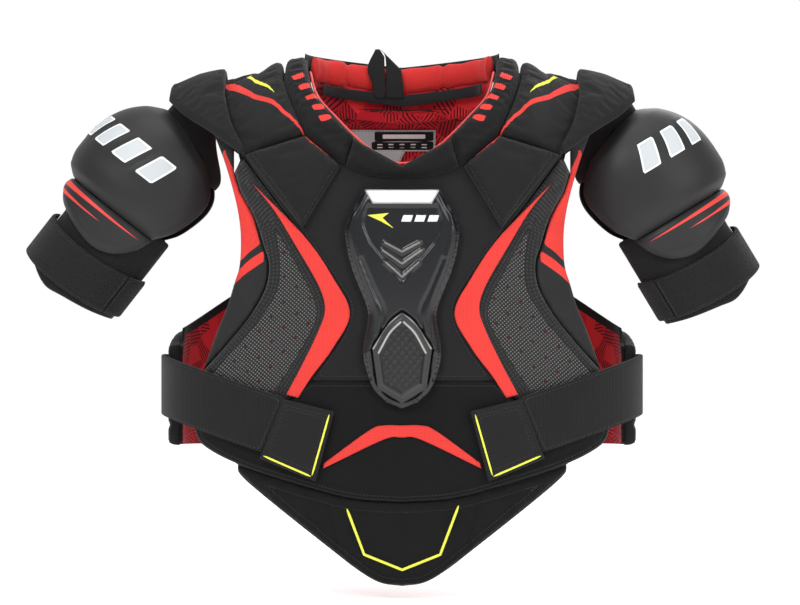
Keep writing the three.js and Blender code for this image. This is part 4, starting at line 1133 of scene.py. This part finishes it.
def sling(label, guard):
    """Stretch fabric from under the cap down into the guard, all round the arm."""
    rows, columns, first, last = 30, 72, 2, 54
    points = []
    for wall in (0.0, -1.8):
        for down in np.linspace(first, last, rows):
            room = guard_swell(max(down, 20))
            high = GUARD_CENTRE + (GUARD_HALF[0] - 13) * room - 2 + wall
            low = -14 - 33 * smoothstep(down, 5, 50) - wall
            reach = (GUARD_HALF[1] - 15 - 0.26 * down) * room - 2 + wall
            for turn in np.linspace(0, 2 * math.pi, columns, endpoint=False):
                crease = 1 + 0.012 * math.sin(9 * turn + down / 9) + 0.010 * math.sin(5 * turn - down / 6)
                across = (high + low) / 2 + (high - low) / 2 * math.cos(turn) * crease
                points.append((across, reach * math.sin(turn) * crease, down + 4 * math.cos(turn)))
    flat = np.array(points)
    placed = guard.world(flat[:, 0], flat[:, 1], flat[:, 2])
    count = rows * columns
    faces = []
    for j in range(columns):
        k = (j + 1) % columns
        for i in range(rows - 1):
            a, b, c, d = i * columns + j, i * columns + k, (i + 1) * columns + k, (i + 1) * columns + j
            faces += [[a, b, c, d], [count + d, count + c, count + b, count + a]]
        end = (rows - 1) * columns
        faces += [[k, j, count + j, count + k], [end + j, end + k, count + end + k, count + end + j]]
    along = np.tile(np.arange(columns) * 3.4, rows * 2)
    down = np.tile(np.repeat(np.arange(rows) * 2.3, columns), 2)
    make_mesh(f"arm_sling_{label}", placed, faces,
              {"cx": along, "cy": down, "rim": down, "along": along, "outer": np.repeat([1.0, 0.0], count)})


# ---- the pads swell ----

# The most that each pad swells, in millimetres
SWELL = {"clavicle_pad_left": 2.5, "front_arch_left": 2.0, "back_arch_left": 3.0, "shoulder_cap_left": 2.0,
         "collar_left": 1.5, "collar_point": 1.5, "belly_pad": 2.0, "rib_pad_left": 1.2,
         "armhole_edge_left": 1.5, "back_panel": 2.5, "back_wing_left": 2.0}
SWELL_FRAMES, HELD_RIM = 16, 2.0
CLOTH = {"quality": 4, "mass": 0.3, "tension_stiffness": 12, "compression_stiffness": 12,
         "bending_stiffness": 0.6, "shrink_min": -0.03, "use_pressure": True,
         "uniform_pressure_force": 4.0, "vertex_group_mass": "held"}


def inflate():
    """Cloth simulation: each pad's outer fabric is blown out from inside and held at its edge and back."""
    scene = bpy.context.scene
    rest = {}
    for name in SWELL:
        obj = made[name]
        mesh = obj.data
        outer = np.empty(len(mesh.vertices), np.float32)
        rim = np.empty(len(mesh.vertices), np.float32)
        points = np.empty(len(mesh.vertices) * 3, np.float32)
        mesh.attributes["outer"].data.foreach_get("value", outer)
        mesh.attributes["rim"].data.foreach_get("value", rim)
        mesh.vertices.foreach_get("co", points)
        rest[name] = points.reshape(-1, 3)
        held = obj.vertex_groups.new(name="held")
        held.add([int(i) for i in np.flatnonzero((outer < 0.5) | (rim < HELD_RIM))], 1.0, "REPLACE")
        cloth = obj.modifiers.new("swell", "CLOTH")
        for setting, value in CLOTH.items():
            setattr(cloth.settings, setting, value)
        cloth.settings.effector_weights.gravity = 0
        cloth.point_cache.frame_start, cloth.point_cache.frame_end = 1, SWELL_FRAMES
    for number in range(1, SWELL_FRAMES + 1):
        scene.frame_set(number)
    graph = bpy.context.evaluated_depsgraph_get()
    for name, most in SWELL.items():
        obj = made[name]
        swollen = obj.evaluated_get(graph).to_mesh()
        points = np.empty(len(swollen.vertices) * 3, np.float32)
        swollen.vertices.foreach_get("co", points)
        move = points.reshape(-1, 3) - rest[name]
        length = np.linalg.norm(move, axis=1)
        limit = most * MM
        move *= (limit * np.tanh(length / limit) / np.maximum(length, 1e-9))[:, None]
        obj.evaluated_get(graph).to_mesh_clear()
        obj.modifiers.clear()
        obj.data.vertices.foreach_set("co", (rest[name] + move).astype(np.float32).ravel())
        obj.data.update()
        print(f"swell {name}: mean {length.mean() * 1000:.2f} mm, most {length.max() * 1000:.2f} mm")
    scene.frame_set(1)


# ---- build ----

chest()
chest_linings()
ribs()
shoulders()
collar()
plate()
belly()
back()
neck()
straps()
for arm_label in ARMS:
    arm(arm_label)

inflate()

PAIRS = ("rib_pad", "armhole_edge", "chest_crescent", "clavicle_pad", "front_arch", "back_arch",
         "shoulder_cap", "collar", "back_wing", "wing_liner", "waist_strap", "strap_anchor",
         "strap_tab", "tab_piping", "tab_piping_low", "hook_pad")
for pair in PAIRS:
    mirror(made[f"{pair}_left"], f"{pair}_right")

# ---- finishes ----

knit_black = fabric("knit_black", BLACK, marks=[("red", 0.0, RED), ("lime", 0.0, LIME)], stitch_at=())
collar_rib = fabric("collar_rib", DARK, weave="rib", pitch=1.7, depth=0.3, marks=[("mark", 0.0, RED)],
                    stitch_at=())
pad_black = fabric("pad_black", BLACK, marks=[("red", 0.0, RED)], stitch_at=(3.2,))
cap_black = fabric("cap_black", BLACK, stitch_at=())
loop_cloth = fabric("loop_cloth", PANEL, fuzz=0.85, depth=0.35, rough=0.95, sheen=0.1, stitch_at=(4.2,))
loop_dark = fabric("loop_dark", DARK, fuzz=0.85, depth=0.35, rough=0.95, sheen=0.1, stitch_at=(4.2,))
belly_cloth = fabric("belly_cloth", DARK, fuzz=0.7, depth=0.3, stitch_at=(8.2,))
back_cloth = fabric("back_cloth", BLACK, pitch=2.2, depth=0.35, stitch_at=(4.0,))
red_cloth = fabric("red_cloth", RED, stitch_at=(), sheen=0.1, pitch=1.2, depth=0.15, worn=0.15)
edge_cloth = fabric("edge_cloth", CHARCOAL, stitch_at=(), marks=[("red", 0.0, RED)], fuzz=0.6, depth=0.2)
roll_red = fabric("roll_red", (0.58, 0.030, 0.028), stitch_at=(), pitch=1.6, depth=0.3, worn=0.4)
elastic = fabric("elastic", BLACK, weave="rib", pitch=1.9, depth=0.3, stitch_at=(2.2,), sheen=0.1)
web = fabric("web", BLACK, weave="twill", pitch=1.6, depth=0.25, stitch_at=(), rough=0.7)
tab_leather = fabric("tab_leather", (0.010, 0.010, 0.011), weave="twill", pitch=2.4, rough=0.6,
                     stitch_at=(5.0, 7.6))
lining_red = lining("lining_red")
rib_mesh = mesh_cloth("rib_mesh")
guard_shell = shell("guard_shell", (0.0125, 0.0125, 0.0135), rough=0.55, coat=0.04,
                    marks=[("bar", -1.0, (0.012, 0.012, 0.012)), ("bar", 0.0, (0.80, 0.82, 0.84)),
                           ("trim", 0.0, (0.50, 0.53, 0.55)), ("stripe", 0.0, RED)])
# The light "rib" mark on the plate is a painted highlight along its arrows.
plate_gloss = shell("plate_gloss", (0.006, 0.0065, 0.008), rough=0.24, coat=0.3,
                    marks=[("rib", 0.0, (0.16, 0.16, 0.15))])
# The light "bright" mark on the insert is a painted highlight on its upper rims.
insert_gloss = shell("insert_gloss", (0.026, 0.027, 0.028), rough=0.32, coat=0.15,
                     marks=[("panel", 0.0, (0.009, 0.009, 0.009)), ("bright", 0.0, (0.36, 0.36, 0.34))])
back_shell = shell("back_shell", (0.012, 0.012, 0.013), rough=0.4, coat=0.3)
badge_silver = shell("badge_silver", (0.55, 0.56, 0.57), rough=0.28, coat=0.4,
                     marks=[("face", 0.0, (0.86, 0.87, 0.88))])
piping_lime = paint_only("piping_lime", LIME, 0.5)
piping_red = paint_only("piping_red", RED, 0.6)
paint_white = paint_only("paint_white", (0.8, 0.82, 0.84), 0.4)
hook_grey = fabric("hook_grey", CHARCOAL, fuzz=0.95, depth=0.6, stitch_at=(2.0,))
label_cloth = fabric("label_cloth", (0.42, 0.44, 0.45), stitch_at=(1.2,), depth=0.08, sheen=0.05,
                     marks=[("head", 0.0, DARK), ("print", 0.0, (0.72, 0.72, 0.72))])

SIDES = ("left", "right")
# The value of a printed field on a piece that doesn't have that print
NO_MARK = -9.0
# piece: (look, slot, body, fill of a padded piece or None)
FINISH = {
    "chest_panel": (loop_cloth, "black_fabric", "front_seam", 0.5),
    "lower_chest_panel": (loop_dark, "black_fabric", "vest_front", 0.5),
    "chest_chevron": (red_cloth, "red_fabric", "vest_front", None),
    "chest_liner": (lining_red, "red_lining", "front_seam", None),
    "rib_pad_{s}": (rib_mesh, "charcoal_mesh", "vest_front", 0.6),
    "armhole_edge_{s}": (edge_cloth, "red_fabric", "vest_front", 0.5),
    "chest_crescent_{s}": (red_cloth, "red_fabric", "vest_front", None),
    "clavicle_pad_{s}": (pad_black, "black_fabric", "vest_front", 0.8),
    "front_arch_{s}": (knit_black, "black_fabric", "front_seam", 0.8),
    "collar_point": (collar_rib, "black_fabric", "vest_front", 0.7),
    "collar_{s}": (collar_rib, "black_fabric", "front_seam", 0.7),
    "neckline_piping": (piping_red, "red_fabric", "front_seam", None),
    "sternum_plate": (plate_gloss, "gloss_shell", "vest_front", None),
    "sternum_insert": (insert_gloss, "gloss_shell", "vest_front", None),
    "sternum_badge": (badge_silver, "silver_badge", "vest_front", None),
    "plate_flash": (piping_lime, "gloss_shell", "vest_front", None),
    "plate_bar_0": (paint_white, "silver_badge", "vest_front", None),
    "plate_bar_1": (paint_white, "silver_badge", "vest_front", None),
    "plate_bar_2": (paint_white, "silver_badge", "vest_front", None),
    "belly_pad": (belly_cloth, "black_fabric", "belly", 0.7),
    "belly_piping": (piping_lime, "webbing", "belly", None),
    "belly_pad_lining": (lining_red, "red_lining", "belly", None),
    "back_panel": (back_cloth, "black_fabric", "vest_back", 0.6),
    "back_liner": (lining_red, "red_lining", "vest_back", None),
    "back_wing_{s}": (back_cloth, "black_fabric", "vest_back", 0.6),
    "wing_liner_{s}": (lining_red, "red_lining", "vest_back", None),
    "back_arch_{s}": (knit_black, "black_fabric", "vest_back", 0.8),
    "spine_plate": (back_shell, "moulded_shell", "vest_back", None),
    "size_label": (label_cloth, "label", "vest_back", None),
    "neck_roll": (roll_red, "red_fabric", "vest_back", 0.8),
    "back_collar": (knit_black, "black_fabric", "vest_back", 0.5),
    "neck_facing": (lining_red, "red_lining", "vest_back", None),
    "neck_band": (web, "webbing", "vest_back", None),
    "hanging_loop": (web, "webbing", "vest_back", None),
    "hanging_loop_back": (web, "webbing", "vest_back", None),
    "strap_anchor_{s}": (web, "webbing", "vest_back", None),
    "waist_strap_{s}": (elastic, "webbing", "waist_strap_{s}", None),
    "strap_tab_{s}": (tab_leather, "webbing", "waist_strap_{s}", None),
    "tab_piping_{s}": (piping_lime, "webbing", "waist_strap_{s}", None),
    "tab_piping_low_{s}": (piping_lime, "webbing", "waist_strap_{s}", None),
    "hook_pad_{s}": (hook_grey, "hook_tape", "waist_strap_{s}", None),
    "shoulder_cap_{s}": (cap_black, "black_fabric", "cap_{s}", 0.7),
    "arm_sling_{s}": (knit_black, "black_fabric", "sling_seam_{s}", 0.2),
    "bicep_guard_{s}": (guard_shell, "moulded_shell", "guard_{s}", None),
    "bicep_flap_{s}": (guard_shell, "moulded_shell", "guard_{s}", None),
    "bicep_liner_{s}": (knit_black, "black_fabric", "guard_{s}", 0.5),
    "bicep_wrap_{s}": (knit_black, "sleeve_knit", "guard_{s}", 0.3),
    "bicep_strap_{s}": (elastic, "sleeve_knit", "sleeve_{s}", None),
    "bicep_strap_tab_{s}": (elastic, "hook_tape", "sleeve_{s}", None),
}


def attach(obj, body):
    if body == "front_seam":
        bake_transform(obj, "vest_back", "vest_front", start=(0, -0.002, 0.03), end=(0, -0.07, -0.03))
    elif body.startswith("sling_seam_"):
        label = body.rsplit("_", 1)[1]
        side, pivot, tilt = ARMS[label]
        pivot = Vector(pivot) * MM
        lean = math.radians(tilt)
        end = pivot + Vector((side * math.sin(lean), 0, -math.cos(lean))) * 0.045
        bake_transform(obj, "vest_back", f"sling_{label}", start=pivot, end=end)
    else:
        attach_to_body(obj, body)


for pattern, (look, slot, body, full) in FINISH.items():
    for side_name in (SIDES if "{s}" in pattern else ("",)):
        node = pattern.format(s=side_name)
        piece = made[node]
        piece.data.materials.clear()
        piece.data.materials.append(look.material)
        for field in sorted(look.fields - set(piece.data.attributes.keys())):
            empty = piece.data.attributes.new(field, "FLOAT", "POINT")
            empty.data.foreach_set("value", np.full(len(piece.data.vertices), NO_MARK, np.float32))
        attach(piece, body.format(s=side_name))
        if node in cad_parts:
            piece.name = f"{node}_look"
            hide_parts(node)

# ---- studio ----

FLOOR_SIZE, FLOOR_GAP, BACKDROP_SIZE, BACKDROP_AWAY = 8, 0.012, 60, 12
WORLD_LIGHT = 0.42
# name: (place, size, power)
LIGHTS = {"key": ((-0.9, -1.6, 1.3), 1.0, 26), "fill": ((1.3, -1.3, 0.6), 1.2, 14),
          "top": ((0, -0.2, 1.8), 1.2, 16), "rim": ((0.6, 1.4, 1.0), 1.0, 12)}
LIT = Vector((0, 0, -0.18))
LENS, SENSOR, VIEW_WIDTH = 135, 36, 0.752
CAMERA_X, CAMERA_FORWARD, CAMERA_Z = -0.002, 0.06, -0.19


def studio():
    low = float(cad_box[0][2])
    bpy.ops.mesh.primitive_plane_add(size=FLOOR_SIZE, location=(0, 0, low - FLOOR_GAP))
    floor = bpy.context.object
    floor.name = "studio_floor"
    floor_white = Look("studio_floor_white", Roughness=0.9, Base_Color=(0.8, 0.8, 0.8),
                       Emission_Color=(1, 1, 1), Emission_Strength=0.55)
    floor.data.materials.append(floor_white.material)
    bpy.ops.mesh.primitive_plane_add(size=BACKDROP_SIZE, location=(0, BACKDROP_AWAY, 1),
                                     rotation=(math.radians(90), 0, 0))
    backdrop = bpy.context.object
    backdrop.name = "studio_backdrop"
    back_white = Look("studio_back_white", Base_Color=(0, 0, 0), Specular_IOR_Level=0.0,
                      Emission_Color=(1, 1, 1), Emission_Strength=1.0)
    backdrop.data.materials.append(back_white.material)
    world = bpy.data.worlds.new("studio")
    world.use_nodes = True
    world.node_tree.nodes["Background"].inputs[0].default_value = (1, 1, 1, 1)
    world.node_tree.nodes["Background"].inputs[1].default_value = WORLD_LIGHT
    bpy.context.scene.world = world
    for name, (place, size, power) in LIGHTS.items():
        light = bpy.data.lights.new(name, "AREA")
        light.size, light.energy = size, power
        lamp = bpy.data.objects.new(name, light)
        lamp.location = place
        lamp.rotation_euler = (LIT - Vector(place)).to_track_quat("-Z", "Y").to_euler()
        bpy.context.scene.collection.objects.link(lamp)
    camera = bpy.data.cameras.new("camera")
    camera.lens, camera.sensor_width = LENS, SENSOR
    distance = VIEW_WIDTH * LENS / SENSOR
    holder = bpy.data.objects.new("camera", camera)
    holder.location = (CAMERA_X, -distance - CAMERA_FORWARD, CAMERA_Z)
    holder.rotation_euler = (math.radians(90), 0, 0)
    bpy.context.scene.collection.objects.link(holder)
    bpy.context.scene.camera = holder
    bpy.context.scene.view_settings.view_transform = "Standard"


studio()
